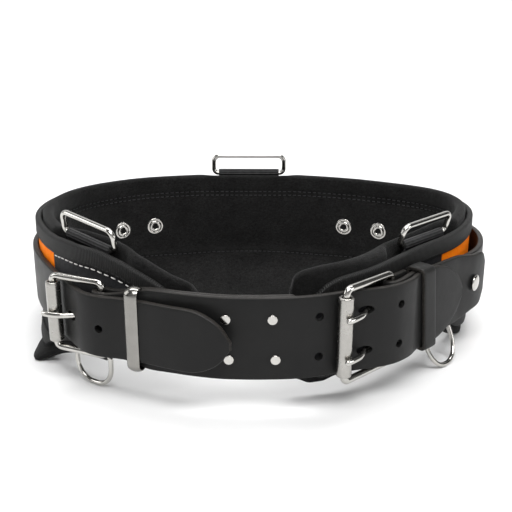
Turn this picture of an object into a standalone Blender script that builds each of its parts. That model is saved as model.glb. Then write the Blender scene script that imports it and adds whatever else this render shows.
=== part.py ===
"""Padded back support belt: a quilted support pad, a buckled leather strap around it, and steel rings.

Sizes are in millimetres and angles in degrees. MM turns them to metres where a mesh or a place is made.
The belt stands on its lower edge: X runs across the wearer, -Y is the front with the buckles, +Z is up.
An arc is a distance along the support's outer line, from the middle of the front towards +X.
An offset is a distance outwards from that line, and a negative offset lies inside it.
"""

import math

import bmesh
import bpy
import numpy as np
from mathutils import Matrix, Vector

MM = 0.001
GAP = 0.3
STATION = 12.0
MID = 48.0

# Plan of the pad's outer face, counterclockwise from the middle of the front: x, y
SUPPORT_LINE = [
    (0, -106), (26, -104.5), (50, -97.5), (71, -86), (93, -65), (117, -41.5), (136, -18),
    (148, 7), (153, 35), (145.5, 62), (127, 81), (100, 96.5), (70, 109.5), (0, 124.5),
    (-60, 117.5), (-91, 108), (-116, 93.5), (-139, 70), (-151, 38), (-151, 9), (-143, -18),
    (-126, -50), (-105, -73.5), (-84, -86.5), (-65, -95), (-45, -102), (-24, -105.5),
]

# Pad heights: arc, top of the outer cover, bottom of the outer cover, top of the liner, bottom of the liner
PAD_HEIGHTS = [
    (20, 64, 26, 70, 17.5), (22.5, 65, 25, 77.5, 14.3), (27, 66, 22, 80.5, 12.3), (34, 68, 16.5, 82, 9.7),
    (41, 73.5, 15, 83, 9.7), (50, 77, 17, 83.3, 12), (66, 79, 18.5, 83.8, 13.2), (92, 81, 20, 84.8, 15),
    (132, 82.5, 20, 86.3, 15.5), (156, 82.5, 18, 87.5, 13), (176, 82.8, 9.5, 87.5, 2.5),
    (187, 83, 8, 87.5, 0),
    (420, 84, 8, 87.5, 0), (640, 86, 9, 89, 0), (688, 86.6, 10, 89.6, 0), (694, 86.9, 13, 90, 3),
    (700, 87, 16, 90, 6.5), (715, 88, 21, 91, 11.5), (738, 88, 27, 91, 18.3), (752, 86, 31.5, 90, 23),
    (760, 84, 32.5, 89, 24),
    (773, 79, 33.5, 84.5, 24), (786, 73, 34.5, 79, 24), (795, 67, 36, 76, 24), (804, 60, 40, 73, 25.5),
    (809, 56, 44, 68, 30),
]
# Outward flare of the pad's lower edge where it bears on the ground: arc, flare
PAD_FLARE = [
    (156, 0), (184, 5), (215, 2), (250, 0), (635, 0), (668, 13), (688, 20), (704, 14), (722, 3), (735, 0),
]
# Inward lean of the pad's lower edge where it folds in at the back of the hollow: arc, lean
BACK_LEAN = [(275, 0), (305, 8), (338, 32), (368, 44), (475, 44), (505, 32), (540, 8), (575, 0)]
LEAN_TURNS = [(276, 370), (472, 576)]
LEAN_STATION = 3.0
FLARE_HEIGHT = 28.0
FLARE_KNEE = 9.0
FLARE_SHARE = 0.35
POCKET_LEVELS = (0.73, 0.77)

SHELL = 2.2
BINDING = 0.8
BINDING_TOP = 11.0
BINDING_BOTTOM = 8.0
LINER_OUTER = -(SHELL + 2 * GAP + BINDING + GAP) - 0.1
LINER_INNER = -10.5
POCKET_WALL = 3.8
POCKET_HALF = 31.0
POCKET_RAMP = 12.0
COVER_START = 33.0
PANEL_SEAM = 697.0
COVER_END = 795.0
LINER_START = 20.0
LINER_END = 809.0

STRAP = 4.0
FRONT_STRAP = 3.5
# Back strap from under the right chape, around the back, to its tip: arc, outer face offset, half width
BACK_STRAP = [
    (150, 6.6, 19), (166, 9.2, 19), (185, 10.6, 19), (208, 9.0, 19), (240, 5.4, 19), (270, 4.3, 19),
    (640, 4.3, 19), (684, 4.4, 19), (698, 4.9, 19), (712, 6.4, 19), (722, 8.5, 19), (731, 11.0, 19),
    (738, 13.8, 19), (746, 17.0, 19), (753.5, 17.9, 19), (760, 17.2, 19), (766, 15.8, 19), (772.5, 15.0, 19),
    (779, 14.9, 19), (785, 15.1, 19), (793, 16.2, 19), (806, 18.6, 19), (812, 19.9, 18.5), (818, 21.3, 16),
    (823, 22.4, 12.5), (827, 23.4, 8), (829.5, 24.0, 3),
]
# Front strap from its rounded tip back to the fold on the left buckle: arc, outer face offset, half width
FRONT_RUN = [
    (146, 14.3, 4), (143.5, 14.2, 9.5), (139, 14.2, 14.5), (133, 14.2, 19), (126, 14.3, 22.5),
    (118, 14.3, 24.6), (107, 13.7, 25), (97, 14.6, 25), (89, 16.7, 25), (79, 17.3, 25), (70, 16.1, 25),
    (60, 13.6, 25), (52, 12.6, 25), (45, 12.2, 25), (35, 12.8, 25), (22, 13.7, 25), (0, 14.0, 25),
    (-18, 13.3, 25), (-33, 11.5, 25), (-49, 10.1, 25), (-58, 10.25, 25), (-65, 10.55, 23.6),
    (-71, 10.8, 22.3), (-80, 11.6, 20), (-86, 13.0, 19.2),
]
# The same strap's inner layer, from the left buckle back to its end under the rivets
FOLD_RUN = [
    (-86, 5.4, 19.2), (-79, 5.0, 20), (-71, 4.9, 22), (-63, 5.0, 23.5), (-49, 6.3, 24.5), (-33, 7.7, 24.5),
    (-18, 9.5, 24.5), (0, 10.2, 24.5), (20, 9.9, 24.5),
]
# Right chape from its cut end back to the fold on the right buckle: arc, outer face offset, half width
CHAPE = 3.5
CHAPE_RUN = [
    (181, 14.4, 11), (177, 14.2, 17.5), (173, 13.9, 19), (166, 13.1, 19.4), (157, 11.6, 21), (146, 10.3, 23),
    (135, 10.2, 23.4), (118, 10.2, 23.6), (107, 9.5, 24.2), (98, 10.4, 24.8), (90, 11.8, 25), (83, 12.9, 25),
]
# The chape's inner layer, from the fold to its end
CHAPE_FOLD_RUN = [(83, 5.3, 25), (90, 4.95, 25), (97, 4.95, 25)]

WIRE = 2.15
ROLLER = 4.4
ROLLER_BORE = 2.75
PRONG = 1.6
# Buckles: heel bar arc, heel offset, roller arc, roller offset, centre line height, roller length
LEFT_BUCKLE = (-90.0, 7.4, -121.5, 14.0, 46.3, 38.4)
RIGHT_BUCKLE = (79.0, 7.4, 45.0, 17.2, 56.6, 48.4)
ROLLER_CORNER = 3.6
HEEL_CORNER = 3.4
# Prong from its eye to its tip: share of the way from heel bar to roller, height over the buckle's plane
PRONG_RUN = [
    (0.20, 0.4), (0.33, 0.0), (0.46, 0.5), (0.60, 2.6), (0.76, 5.2), (0.90, 6.4), (1.02, 6.6), (1.10, 6.3),
]
PRONG_ROWS = 12.5
PRONG_SLOT = 7.0
SLOT_BEHIND = 9.0
SLOT_AHEAD = 8.0
SLOT_DEPTH = 8.0

METAL_KEEPER_ARC = -67.0
METAL_KEEPER_HALF = 3.6
METAL_KEEPER = 1.3
METAL_KEEPER_ENDS = 1.8
METAL_KEEPER_ROOM = 1.2
LEATHER_KEEPER_ARC = 107.0
LEATHER_KEEPER_HALF = 6.0
LEATHER_KEEPER = 2.5

# Top rings in their webbing: name, arc, offset and height of the held bar, tilt along it, outward lean, width
TOP_RINGS = [
    ("left", 728.0, -10.4, 87.2, -5.0, 10.0, 48.0),
    ("right", 130.0, -8.0, 82.4, 0.0, 16.0, 49.0),
    ("back", 422.3, -8.8, 88.4, 0.0, 0.0, 56.5),
]
RING_WIRE = 1.75
RING_HEIGHT = 14.0
RING_CORNERS = [3.6, 3.6, 5.0, 5.0]
RING_WEBBING_ROOM = 4.05
WEBBING = 1.2
WEBBING_LENGTH = 10.0
WEBBING_LEGS = (1.9, 0.4)

# Lower D rings: name, arc, offset and height of the held bar, drop, outward lean, length of webbing legs
D_RINGS = [("left", 740.0, 2.6, 22.2, 20.4, 0.0, 6.0), ("right", 134.0, 4.2, 23.0, 23.4, 25.0, 26.0)]
D_WIRE = 1.5
D_HALF = 14.0
D_CORNER = 1.9
D_LEG = 6.5
D_WEBBING_HALF = 11.6
D_WEBBING = 0.8
D_WEBBING_FACE = GAP + BINDING + GAP

# Eyelet rivets that hold the back strap to the pad: arcs
BACK_RIVETS = [310.0, 340.0, 503.5, 533.5]
# Rivets through the folded front strap: arc, height
FRONT_RIVETS = [(-16.5, 60.2), (8.8, 60.2), (-15.0, 35.8), (10.5, 35.8)]
CHAPE_RIVET = (165.0, MID)
# Rivet heads from shank to crown: radius, height over the face
BACK_RIVET_SHANK = 2.9
BACK_RIVET_BORE = 1.9
BACK_HEAD_INSIDE = [(6.5, 0.6), (5.6, 1.6), (BACK_RIVET_BORE, 1.6)]
BACK_HEAD_OUTSIDE = [(5.5, 2 * GAP), (5.2, 1.6), (BACK_RIVET_BORE, 1.9)]
FRONT_RIVET_SHANK = 1.6
FRONT_HEAD_INSIDE = [(2.9, 0.5), (2.6, 1.3), (0.4, 1.3)]
FRONT_HEAD_OUTSIDE = [(2.9, 0.5), (2.5, 1.2), (0.4, 1.4)]
CHAPE_RIVET_SHANK = 2.4
CHAPE_HEAD_INSIDE = [(3.8, 1.2), (3.8, 2.4), (0.4, 2.4)]
CHAPE_HEAD_OUTSIDE = [(5.5, 0.7), (5.0, 1.6), (3.0, 2.3), (0.4, 2.5)]
# Punched holes in the front strap and the back strap's tip: arc, height
FRONT_HOLES = [(32.8, 60.2), (32.8, 35.8), (78.0, 60.5), (78.0, 35.5)]
BACK_HOLES = [(-86.5, 47.0)]
HOLE = 2.5
# Arcs of the oblong holes that the prongs pass through, their half width and their length
LEFT_PRONG_HOLE = -106.9
RIGHT_PRONG_HOLE = 61.2
PRONG_HOLE_HALF = 2.6
PRONG_HOLE = 10.2

COLOURS = {
    "felt": ((0.018, 0.018, 0.019), 0.95, 0.0),
    "nylon": ((0.030, 0.030, 0.032), 0.70, 0.0),
    "orange": ((0.95, 0.25, 0.01), 0.70, 0.0),
    "leather": ((0.022, 0.022, 0.023), 0.45, 0.0),
    "steel": ((0.72, 0.70, 0.67), 0.22, 1.0),
}


def clear_scene():
    """Removes whatever the scene holds."""
    for old in list(bpy.data.objects):
        bpy.data.objects.remove(old, do_unlink=True)


def closed_spline(points, count):
    """Points along a closed smooth cubic curve through the given points."""
    knots = np.array(points, float)
    size = len(knots)
    loop = np.vstack([knots, knots[:1]])
    spans = np.hypot(*np.diff(loop, axis=0).T) ** 0.5
    marks = np.concatenate([[0.0], np.cumsum(spans)])
    matrix = np.zeros((size, size))
    right = np.zeros((size, 2))
    for i in range(size):
        before = spans[i - 1]
        after = spans[i]
        matrix[i, i - 1] += before
        matrix[i, i] += 2 * (before + after)
        matrix[i, (i + 1) % size] += after
        right[i] = 6 * ((loop[i + 1] - loop[i]) / after - (loop[i] - knots[i - 1]) / before)
    bends = np.linalg.solve(matrix, right)
    bends = np.vstack([bends, bends[:1]])
    where = np.linspace(0, marks[-1], count, endpoint=False)
    k = np.searchsorted(marks, where, side="right") - 1
    span = spans[k]
    a = (marks[k + 1] - where) / span
    b = (where - marks[k]) / span
    straight = a[:, None] * loop[k] + b[:, None] * loop[k + 1]
    curved = (a**3 - a)[:, None] * bends[k] + (b**3 - b)[:, None] * bends[k + 1]
    return straight + curved * (span**2)[:, None] / 6


class Line:
    """The support's outer line, read by arc length from the middle of the front."""

    def __init__(self, points, count=2880):
        self.xy = closed_spline(points, count)
        ahead = np.roll(self.xy, -1, 0)
        steps = np.hypot(*(ahead - self.xy).T)
        self.arcs = np.concatenate([[0.0], np.cumsum(steps)])
        self.length = self.arcs[-1]
        tangents = ahead - np.roll(self.xy, 1, 0)
        tangents /= np.hypot(*tangents.T)[:, None]
        self.normals = np.stack([tangents[:, 1], -tangents[:, 0]], 1)

    def read(self, values, arc):
        """Values of the line's samples at one arc."""
        looped = np.vstack([values, values[:1]])
        arc = arc % self.length
        return np.array([np.interp(arc, self.arcs, looped[:, j]) for j in (0, 1)])

    def normal(self, arc):
        """Outward unit normal at an arc."""
        normal = self.read(self.normals, arc)
        return normal / np.hypot(*normal)

    def place(self, arc, offset):
        """Plan point at an arc and an outward offset."""
        return self.read(self.xy, arc) + self.normal(arc) * offset


LINE = Line(SUPPORT_LINE)


def smooth(table, column, arc):
    """A column of a table whose first column is the arc, read smoothly and without overshoot."""
    rows = sorted(table)
    x = np.array([row[0] for row in rows], float)
    y = np.array([row[column] for row in rows], float)
    if arc <= x[0]:
        return y[0]
    if arc >= x[-1]:
        return y[-1]
    slopes = np.diff(y) / np.diff(x)
    tangents = np.zeros(len(x))
    for i in range(1, len(x) - 1):
        if slopes[i - 1] * slopes[i] > 0:
            tangents[i] = 2 * slopes[i - 1] * slopes[i] / (slopes[i - 1] + slopes[i])
    k = int(np.searchsorted(x, arc, side="right")) - 1
    span = x[k + 1] - x[k]
    t = (arc - x[k]) / span
    start = (1 + 2 * t) * (1 - t) ** 2 * y[k] + t * (1 - t) ** 2 * span * tangents[k]
    end = t**2 * (3 - 2 * t) * y[k + 1] - t**2 * (1 - t) * span * tangents[k + 1]
    return start + end


def widest(table, arc, half, sign):
    """Furthest outer face of a strap within a short span: outwards for sign 1, inwards for sign -1."""
    return sign * max(sign * smooth(table, 1, arc + step * half) for step in (-1, -0.5, 0, 0.5, 1))


def stations(start, end, extra=()):
    """Arcs from start to end at every whole station, with the ends and any extra ones."""
    inner = [k * STATION for k in range(math.ceil(start / STATION), math.floor(end / STATION) + 1)]
    wanted = sorted([start, end, *(arc for arc in extra if start < arc < end)])
    kept = [arc for arc in inner if min(abs(arc - mark) for mark in wanted) > STATION * 0.3]
    return sorted(kept + wanted)


def lean_arcs():
    """Closer arcs where the pad's lower edge turns into its inward lean."""
    return [arc for low, high in LEAN_TURNS for arc in np.arange(low, high, LEAN_STATION)]


def held_bar(ring, arc):
    """Offset at an arc of the straight bar of a top ring."""
    normal = LINE.normal(ring[1])
    middle = LINE.place(ring[1], ring[2])
    here = LINE.place(arc, 0.0)
    return float(np.dot(middle - here, normal) / np.dot(LINE.normal(arc), normal))


def pocket(arc):
    """Share and outer face of the liner's hollow behind a top ring: share 1 behind it, 0 beside it."""
    best = (0.0, LINER_OUTER)
    for ring in TOP_RINGS:
        distance = abs(arc - ring[1])
        share = min(max(1 - (distance - POCKET_HALF) / POCKET_RAMP, 0.0), 1.0)
        if share > best[0]:
            face = held_bar(ring, arc) - RING_WIRE - 3 * GAP - WEBBING
            best = (share * share * (3 - 2 * share), face)
    return best


def flare(arc, height, kneed=False):
    """Outward lean of the pad's lower edge at a height, kneed for the liner, less its lean at the back."""
    share = FLARE_SHARE * max(FLARE_HEIGHT - height, 0.0) / (FLARE_HEIGHT - FLARE_KNEE)
    if kneed and height < FLARE_KNEE:
        share = FLARE_SHARE + (1 - FLARE_SHARE) * (FLARE_KNEE - height) / FLARE_KNEE
    lean = smooth(BACK_LEAN, 1, arc) * max(FLARE_HEIGHT - height, 0.0) / FLARE_HEIGHT
    return smooth(PAD_FLARE, 1, arc) * share - lean


def to_space(arc, offset, height):
    """Point in space at an arc, an offset and a height."""
    x, y = LINE.place(arc, offset)
    return (x, y, height)


def material(kind, name):
    """A Principled material for one sub-part."""
    colour, roughness, metallic = COLOURS[kind]
    made = bpy.data.materials.new(name)
    made.use_nodes = True
    shader = made.node_tree.nodes["Principled BSDF"]
    shader.inputs["Base Color"].default_value = (*colour, 1.0)
    shader.inputs["Roughness"].default_value = roughness
    shader.inputs["Metallic"].default_value = metallic
    return made


def linked(name, shape):
    """An object made from a finished bmesh."""
    mesh = bpy.data.meshes.new(name)
    shape.to_mesh(mesh)
    shape.free()
    made = bpy.data.objects.new(name, mesh)
    bpy.context.scene.collection.objects.link(made)
    return made


def new_object(name, kind, sections, closed=False, smooth_angle=35.0):
    """An object whose mesh joins rings of points, in millimetres, into one closed body."""
    shape = bmesh.new()
    rings = [[shape.verts.new(Vector(point) * MM) for point in ring] for ring in sections]
    count = len(rings[0])
    pairs = list(zip(rings, rings[1:]))
    if closed:
        pairs.append((rings[-1], rings[0]))
    for ring, following in pairs:
        for j in range(count):
            k = (j + 1) % count
            shape.faces.new((ring[j], ring[k], following[k], following[j]))
    if not closed:
        shape.faces.new(reversed(rings[0]))
        shape.faces.new(rings[-1])
    bmesh.ops.recalc_face_normals(shape, faces=shape.faces)
    made = linked(name, shape)
    made.data.shade_smooth()
    made.data.set_sharp_from_angle(angle=math.radians(smooth_angle))
    made.data.materials.append(material(kind, name))
    return made


def wall_ring(arc, outside, inside, edge):
    """Closed ring of an upright wall's section with eased edges, from faces of offset and height."""
    bottom = outside[0][1]
    top = outside[-1][1]
    top_edge = min(edge, (outside[-1][0] - inside[-1][0]) * 0.3)
    levels = [height for _, height in outside]
    low_outside = np.interp(bottom + edge, levels, [offset for offset, _ in outside])
    low_inside = np.interp(bottom + edge, levels, [offset for offset, _ in inside])
    ring = [(outside[0][0] - edge, bottom), (low_outside, bottom + edge)]
    ring.extend(outside[1:-1])
    ring.extend([(outside[-1][0], top - top_edge), (outside[-1][0] - top_edge, top)])
    ring.extend([(inside[-1][0] + top_edge, top), (inside[-1][0], top - top_edge)])
    ring.extend(inside[-2:0:-1])
    ring.extend([(low_inside, bottom + edge), (inside[0][0] + edge, bottom)])
    return [to_space(arc, offset, height) for offset, height in ring]


def cover(name, kind, start, end):
    """One panel of the pad's outer cover."""
    rings = []
    for arc in stations(start, end, lean_arcs()):
        edge = smooth(PAD_HEIGHTS, 2, arc)
        bottom = edge + BINDING + GAP
        top = smooth(PAD_HEIGHTS, 1, arc) - BINDING - GAP
        band = edge + BINDING_BOTTOM
        heights = [bottom, band, max(FLARE_HEIGHT, band + 3), top]
        outside = [(flare(arc, height), height) for height in heights]
        inside = [(offset - SHELL, height) for offset, height in outside]
        rings.append(wall_ring(arc, outside, inside, 0.4))
    return new_object(name, kind, rings)


def liner():
    """The felt pad against the wearer, taller and longer than the cover, thinner behind the top rings."""
    rings = []
    for arc in stations(LINER_START, LINER_END, [22.5, 27.0, 33.0, 800.0, 805.0, *lean_arcs()]):
        bottom = smooth(PAD_HEIGHTS, 4, arc)
        top = smooth(PAD_HEIGHTS, 3, arc)
        heights = [bottom, max(FLARE_KNEE, bottom + 3), max(FLARE_HEIGHT, bottom + 8)]
        heights.extend(bottom + (top - bottom) * level for level in (*POCKET_LEVELS, 1.0))
        outside = []
        inside = []
        for height in heights:
            share, face = pocket(arc)
            if height < bottom + (top - bottom) * POCKET_LEVELS[0] + 0.1:
                share = 0.0
            lean = flare(arc, height, True)
            outer = LINER_OUTER + (min(face, LINER_OUTER) - LINER_OUTER) * share
            outside.append((outer + lean, height))
            inside.append((min(LINER_INNER, outer - POCKET_WALL) + lean, height))
        rings.append(wall_ring(arc, outside, inside, 2.0))
    return new_object("liner", "felt", rings)


def binding(name, column, band, side):
    """A tape folded over the cover's upper edge (side 1) or lower edge (side -1)."""
    outer = GAP + BINDING
    inner = -SHELL - GAP - BINDING
    rings = []
    for arc in stations(COVER_START, COVER_END, lean_arcs()):
        edge = smooth(PAD_HEIGHTS, column, arc)
        outline = [
            (outer, band), (outer, 0.5), (outer - 0.5, 0.0), (inner + 0.5, 0.0), (inner, 0.5), (inner, band),
            (-SHELL - GAP, band), (-SHELL - GAP, BINDING), (GAP, BINDING), (GAP, band),
        ]
        ring = []
        for offset, inward in outline:
            height = edge - side * inward
            ring.append(to_space(arc, offset + flare(arc, height), height))
        rings.append(ring)
    return new_object(name, "nylon", rings)


def strap_rings(route, thickness, edge):
    """Sections of a strap along a plan route: rows of x, y, half width."""
    points = np.array([row[:2] for row in route])
    tangents = np.gradient(points, axis=0)
    rings = []
    for point, tangent, (_, _, half) in zip(points, tangents, route):
        normal = np.array([tangent[1], -tangent[0]]) / np.hypot(*tangent)
        ring = []
        for side, rise in ((1, -1), (1, 1), (-1, 1), (-1, -1)):
            corner = (side * (thickness / 2), rise * half)
            eased = [(corner[0] - side * edge, corner[1]), (corner[0], corner[1] - rise * edge)]
            ring.extend(eased if side * rise < 0 else eased[::-1])
        rings.append([(*(point + normal * across), MID + up) for across, up in ring])
    return rings


def run(table, thickness, arcs):
    """Plan rows of a strap's middle along the given arcs, from a table of its outer face."""
    rows = []
    for arc in arcs:
        x, y = LINE.place(arc, smooth(table, 1, arc) - thickness / 2)
        rows.append((x, y, smooth(table, 2, arc)))
    return rows


def fold(centre, start, end, half, away):
    """Half circle of plan rows around a heel bar, from one strap layer to the other, on the away side."""
    start_angle = math.atan2(start[1] - centre[1], start[0] - centre[0])
    end_angle = math.atan2(end[1] - centre[1], end[0] - centre[0])
    away_angle = math.atan2(away[1], away[0])
    turn = (end_angle - start_angle) % (2 * math.pi)
    if (away_angle - start_angle) % (2 * math.pi) > turn:
        turn -= 2 * math.pi
    radius = (math.dist(start[:2], centre) + math.dist(end[:2], centre)) / 2
    rows = []
    for k in range(1, 8):
        angle = start_angle + turn * k / 8
        rows.append((centre[0] + radius * math.cos(angle), centre[1] + radius * math.sin(angle), half))
    return rows


def folded_route(outer_table, inner_table, thickness, heel, outer_arcs, inner_arcs):
    """Route of a strap that runs along the belt, turns around a heel bar and comes back inside."""
    centre = LINE.place(heel[0], heel[1])
    radius = WIRE + GAP + 0.15 + thickness / 2
    normal = LINE.normal(heel[0])
    away = np.array([normal[1], -normal[0]])
    half = smooth(outer_table, 2, heel[0])
    outer = run(outer_table, thickness, outer_arcs)
    inner = run(inner_table, thickness, inner_arcs)
    start = (*(centre + normal * radius), half)
    end = (*(centre - normal * radius), half)
    return outer + [start] + fold(centre, start, end, half, away) + [end] + inner


def hidden(name, shape):
    """A cutter that is left out of renders and drawn as wires."""
    made = linked(name, shape)
    made.hide_render = True
    made.display_type = "WIRE"
    return made


def cutters(name, shapes):
    """One hidden cutter of cylinders: rows of arc, height, radius, inner and outer offset, length along."""
    shape = bmesh.new()
    for arc, height, radius, inner, outer, along in shapes:
        x, y = LINE.place(arc, (inner + outer) / 2)
        outward = Vector((*LINE.normal(arc), 0.0))
        turn = outward.to_track_quat("Z", "Y").to_matrix().to_4x4()
        stretch = Matrix.Diagonal((1.0, along / (2 * radius), 1.0, 1.0))
        local_up = turn.inverted().to_3x3() @ Vector((0, 0, 1))
        if abs(local_up.y) > abs(local_up.x):
            stretch = Matrix.Diagonal((along / (2 * radius), 1.0, 1.0, 1.0))
        place = Matrix.Translation(Vector((x, y, height)) * MM) @ turn @ stretch
        bmesh.ops.create_cone(
            shape, cap_ends=True, segments=14, radius1=radius * MM, radius2=radius * MM,
            depth=(outer - inner) * MM, matrix=place,
        )
    return hidden(name, shape)


def cut(target, cutter):
    """Cuts a hidden cutter from an object."""
    modifier = target.modifiers.new("Cut " + cutter.name, "BOOLEAN")
    modifier.operation = "DIFFERENCE"
    modifier.object = cutter


def slot_cutter(name, heel, heights):
    """A hidden cutter of slots through a strap's fold, where prongs turn on the heel bar."""
    centre = LINE.place(heel[0], heel[1])
    normal = LINE.normal(heel[0])
    along = np.array([-normal[1], normal[0]])
    sides = [(-SLOT_BEHIND, -1), (SLOT_AHEAD, -1), (SLOT_AHEAD, 1), (-SLOT_BEHIND, 1)]
    shape = bmesh.new()
    for height in heights:
        corners = [centre + along * forward + normal * SLOT_DEPTH * side for forward, side in sides]
        low = [shape.verts.new(Vector((x, y, height - PRONG_SLOT / 2)) * MM) for x, y in corners]
        high = [shape.verts.new(Vector((x, y, height + PRONG_SLOT / 2)) * MM) for x, y in corners]
        shape.faces.new(low)
        shape.faces.new(high)
        for j in range(4):
            k = (j + 1) % 4
            shape.faces.new((low[j], low[k], high[k], high[j]))
    bmesh.ops.recalc_face_normals(shape, faces=shape.faces)
    return hidden(name, shape)


def wire(name, path, radius, closed, sides, plane):
    """A round wire along a flat path of (u, v), placed by the matrix of its plane."""
    points = np.array(path, float)
    if closed:
        tangents = np.roll(points, -1, 0) - np.roll(points, 1, 0)
    else:
        tangents = np.gradient(points, axis=0)
    rings = []
    for point, tangent in zip(points, tangents):
        normal = np.array([tangent[1], -tangent[0]]) / np.hypot(*tangent)
        ring = []
        for k in range(sides):
            angle = 2 * math.pi * (k + 0.5) / sides
            u, v = point + normal * radius * math.cos(angle)
            ring.append((u, v, radius * math.sin(angle)))
        rings.append(ring)
    made = new_object(name, "steel", rings, closed, 60.0)
    made.location = plane.translation
    made.rotation_euler = plane.to_euler()
    return made


def plane_at(origin, along, up):
    """Placement whose u runs along, v runs up and w is their normal; origin in millimetres."""
    u = Vector(along).normalized()
    v = (Vector(up) - u * Vector(up).dot(u)).normalized()
    w = u.cross(v)
    made = Matrix((u, v, w)).transposed().to_4x4()
    made.translation = Vector(origin) * MM
    return made


def rounded_box(left, right, low, high, radii, steps=4):
    """Closed path around a box with its own radius at each corner, from the lower left, counterclockwise."""
    corners = [(left, low, 1, 1), (right, low, -1, 1), (right, high, -1, -1), (left, high, 1, -1)]
    path = []
    for index, (x, y, dx, dy) in enumerate(corners):
        radius = radii[index]
        start = math.radians(180 + 90 * index)
        for k in range(steps + 1):
            angle = start + math.radians(90) * k / steps
            path.append((x + radius * (dx + math.cos(angle)), y + radius * (dy + math.sin(angle))))
    return path


def catmull(points, steps=4):
    """Smooth open curve through points of a plane."""
    knots = np.array(points, float)
    padded = np.vstack([2 * knots[0] - knots[1], knots, 2 * knots[-1] - knots[-2]])
    path = []
    for k in range(1, len(padded) - 2):
        a, b, c, d = padded[k - 1: k + 3]
        for t in np.arange(steps) / steps:
            bend = (2 * a - 5 * b + 4 * c - d) * t**2 + (3 * b - a - 3 * c + d) * t**3
            path.append(0.5 * (2 * b + (c - a) * t + bend))
    path.append(knots[-1])
    return path


def buckle(prefix, sizes, prong_heights):
    """Frame, roller and prongs of one roller buckle."""
    heel_arc, heel_offset, roller_arc, roller_offset, tall, roller_length = sizes
    heel = LINE.place(heel_arc, heel_offset)
    roller = LINE.place(roller_arc, roller_offset)
    across = roller - heel
    reach = float(np.hypot(*across))
    plane = plane_at((*heel, MID), (*across, 0.0), (0, 0, 1))
    radii = [HEEL_CORNER, ROLLER_CORNER, ROLLER_CORNER, HEEL_CORNER]
    frame_path = rounded_box(0.0, reach, -tall / 2, tall / 2, radii)
    wire(prefix + "_buckle_frame", frame_path, WIRE, True, 12, plane)
    roller_tube(prefix + "_roller", (*roller, MID), roller_length)
    names = ["_prong"] if len(prong_heights) == 1 else ["_prong_lower", "_prong_upper"]
    for name, height in zip(names, prong_heights):
        prong(prefix + name, heel, across / reach, reach, height)


def roller_tube(name, centre, length):
    """The sleeve that turns on a buckle's front bar, its origin on the bar's axis."""
    rings = []
    for radius, height in (
        (ROLLER_BORE, -length / 2), (ROLLER - 0.4, -length / 2), (ROLLER, -length / 2 + 0.4),
        (ROLLER, length / 2 - 0.4), (ROLLER - 0.4, length / 2), (ROLLER_BORE, length / 2),
    ):
        ring = []
        for k in range(20):
            angle = 2 * math.pi * k / 20
            ring.append((radius * math.cos(angle), radius * math.sin(angle), height))
        rings.append(ring)
    made = new_object(name, "steel", rings, True, 50.0)
    made.location = Vector(centre) * MM
    return made


def prong(name, heel, along, reach, height):
    """A prong: an open eye around the heel bar and a shaft that rises through the strap onto the roller."""
    outward = np.array([-along[1], along[0]])
    if np.dot(outward, heel) < 0:
        outward = -outward
    eye = WIRE + GAP + PRONG
    path = []
    for k in range(11):
        angle = math.radians(-38 - 272 * k / 10)
        path.append((eye * math.cos(angle), eye * math.sin(angle)))
    shaft = [path[-1]] + [(share * reach, rise) for share, rise in PRONG_RUN]
    path = path[:-1] + [tuple(point) for point in catmull(shaft, 2)]
    plane = plane_at((*heel, height), (*along, 0.0), (*outward, 0.0))
    return wire(name, path, PRONG, False, 8, plane)


def band(name, kind, arc, half, inner, outer, low, high, thick, thick_ends, edge):
    """A closed loop around straps: a rectangular ring of the given inner sizes, swept along a short arc."""
    rings = []
    for position in np.linspace(arc - half, arc + half, 3):
        box = [
            (inner - thick, low - thick_ends + edge), (inner - thick + edge, low - thick_ends),
            (outer + thick - edge, low - thick_ends), (outer + thick, low - thick_ends + edge),
            (outer + thick, high + thick_ends - edge), (outer + thick - edge, high + thick_ends),
            (inner - thick + edge, high + thick_ends), (inner - thick, high + thick_ends - edge),
        ]
        hole = [(inner, low), (outer, low), (outer, high), (inner, high)]
        rings.append(([to_space(position, *p) for p in box], [to_space(position, *p) for p in hole]))
    shape = bmesh.new()
    outside = [[shape.verts.new(Vector(p) * MM) for p in ring] for ring, _ in rings]
    inside = [[shape.verts.new(Vector(p) * MM) for p in ring] for _, ring in rings]
    for layers in (outside, inside):
        count = len(layers[0])
        for first, second in zip(layers, layers[1:]):
            for j in range(count):
                k = (j + 1) % count
                shape.faces.new((first[j], first[k], second[k], second[j]))
    for ring, hole in ((outside[0], inside[0]), (outside[-1], inside[-1])):
        for j in range(4):
            corner = 2 * j
            shape.faces.new((ring[corner], ring[corner + 1], hole[j]))
            shape.faces.new((ring[corner + 1], ring[(corner + 2) % 8], hole[(j + 1) % 4], hole[j]))
    bmesh.ops.recalc_face_normals(shape, faces=shape.faces)
    made = linked(name, shape)
    made.data.materials.append(material(kind, name))
    return made


def turned(name, profile, arc, height, outward, sides):
    """A rivet or eyelet turned about the outward direction: profile rows of radius, offset from the line."""
    rings = []
    for radius, offset in profile:
        ring = []
        for k in range(sides):
            angle = 2 * math.pi * k / sides
            ring.append((radius * math.cos(angle), radius * math.sin(angle), offset))
        rings.append(ring)
    bored = profile[0][0] >= BACK_RIVET_BORE
    made = new_object(name, "steel", rings, bored, 40.0)
    x, y = LINE.place(arc, 0.0)
    made.location = Vector((x, y, height)) * MM
    made.rotation_euler = Vector((*outward, 0.0)).to_track_quat("Z", "Y").to_euler()
    return made


def bar_place(arc, offset, height, tilt=0.0):
    """Middle of a straight held bar, its direction and the outward direction, in millimetres."""
    x, y = LINE.place(arc, offset)
    normal = LINE.normal(arc)
    along = Vector((-normal[1], normal[0], math.tan(math.radians(tilt)))).normalized()
    return Vector((x, y, height)), along, Vector((*normal, 0.0))


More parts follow.
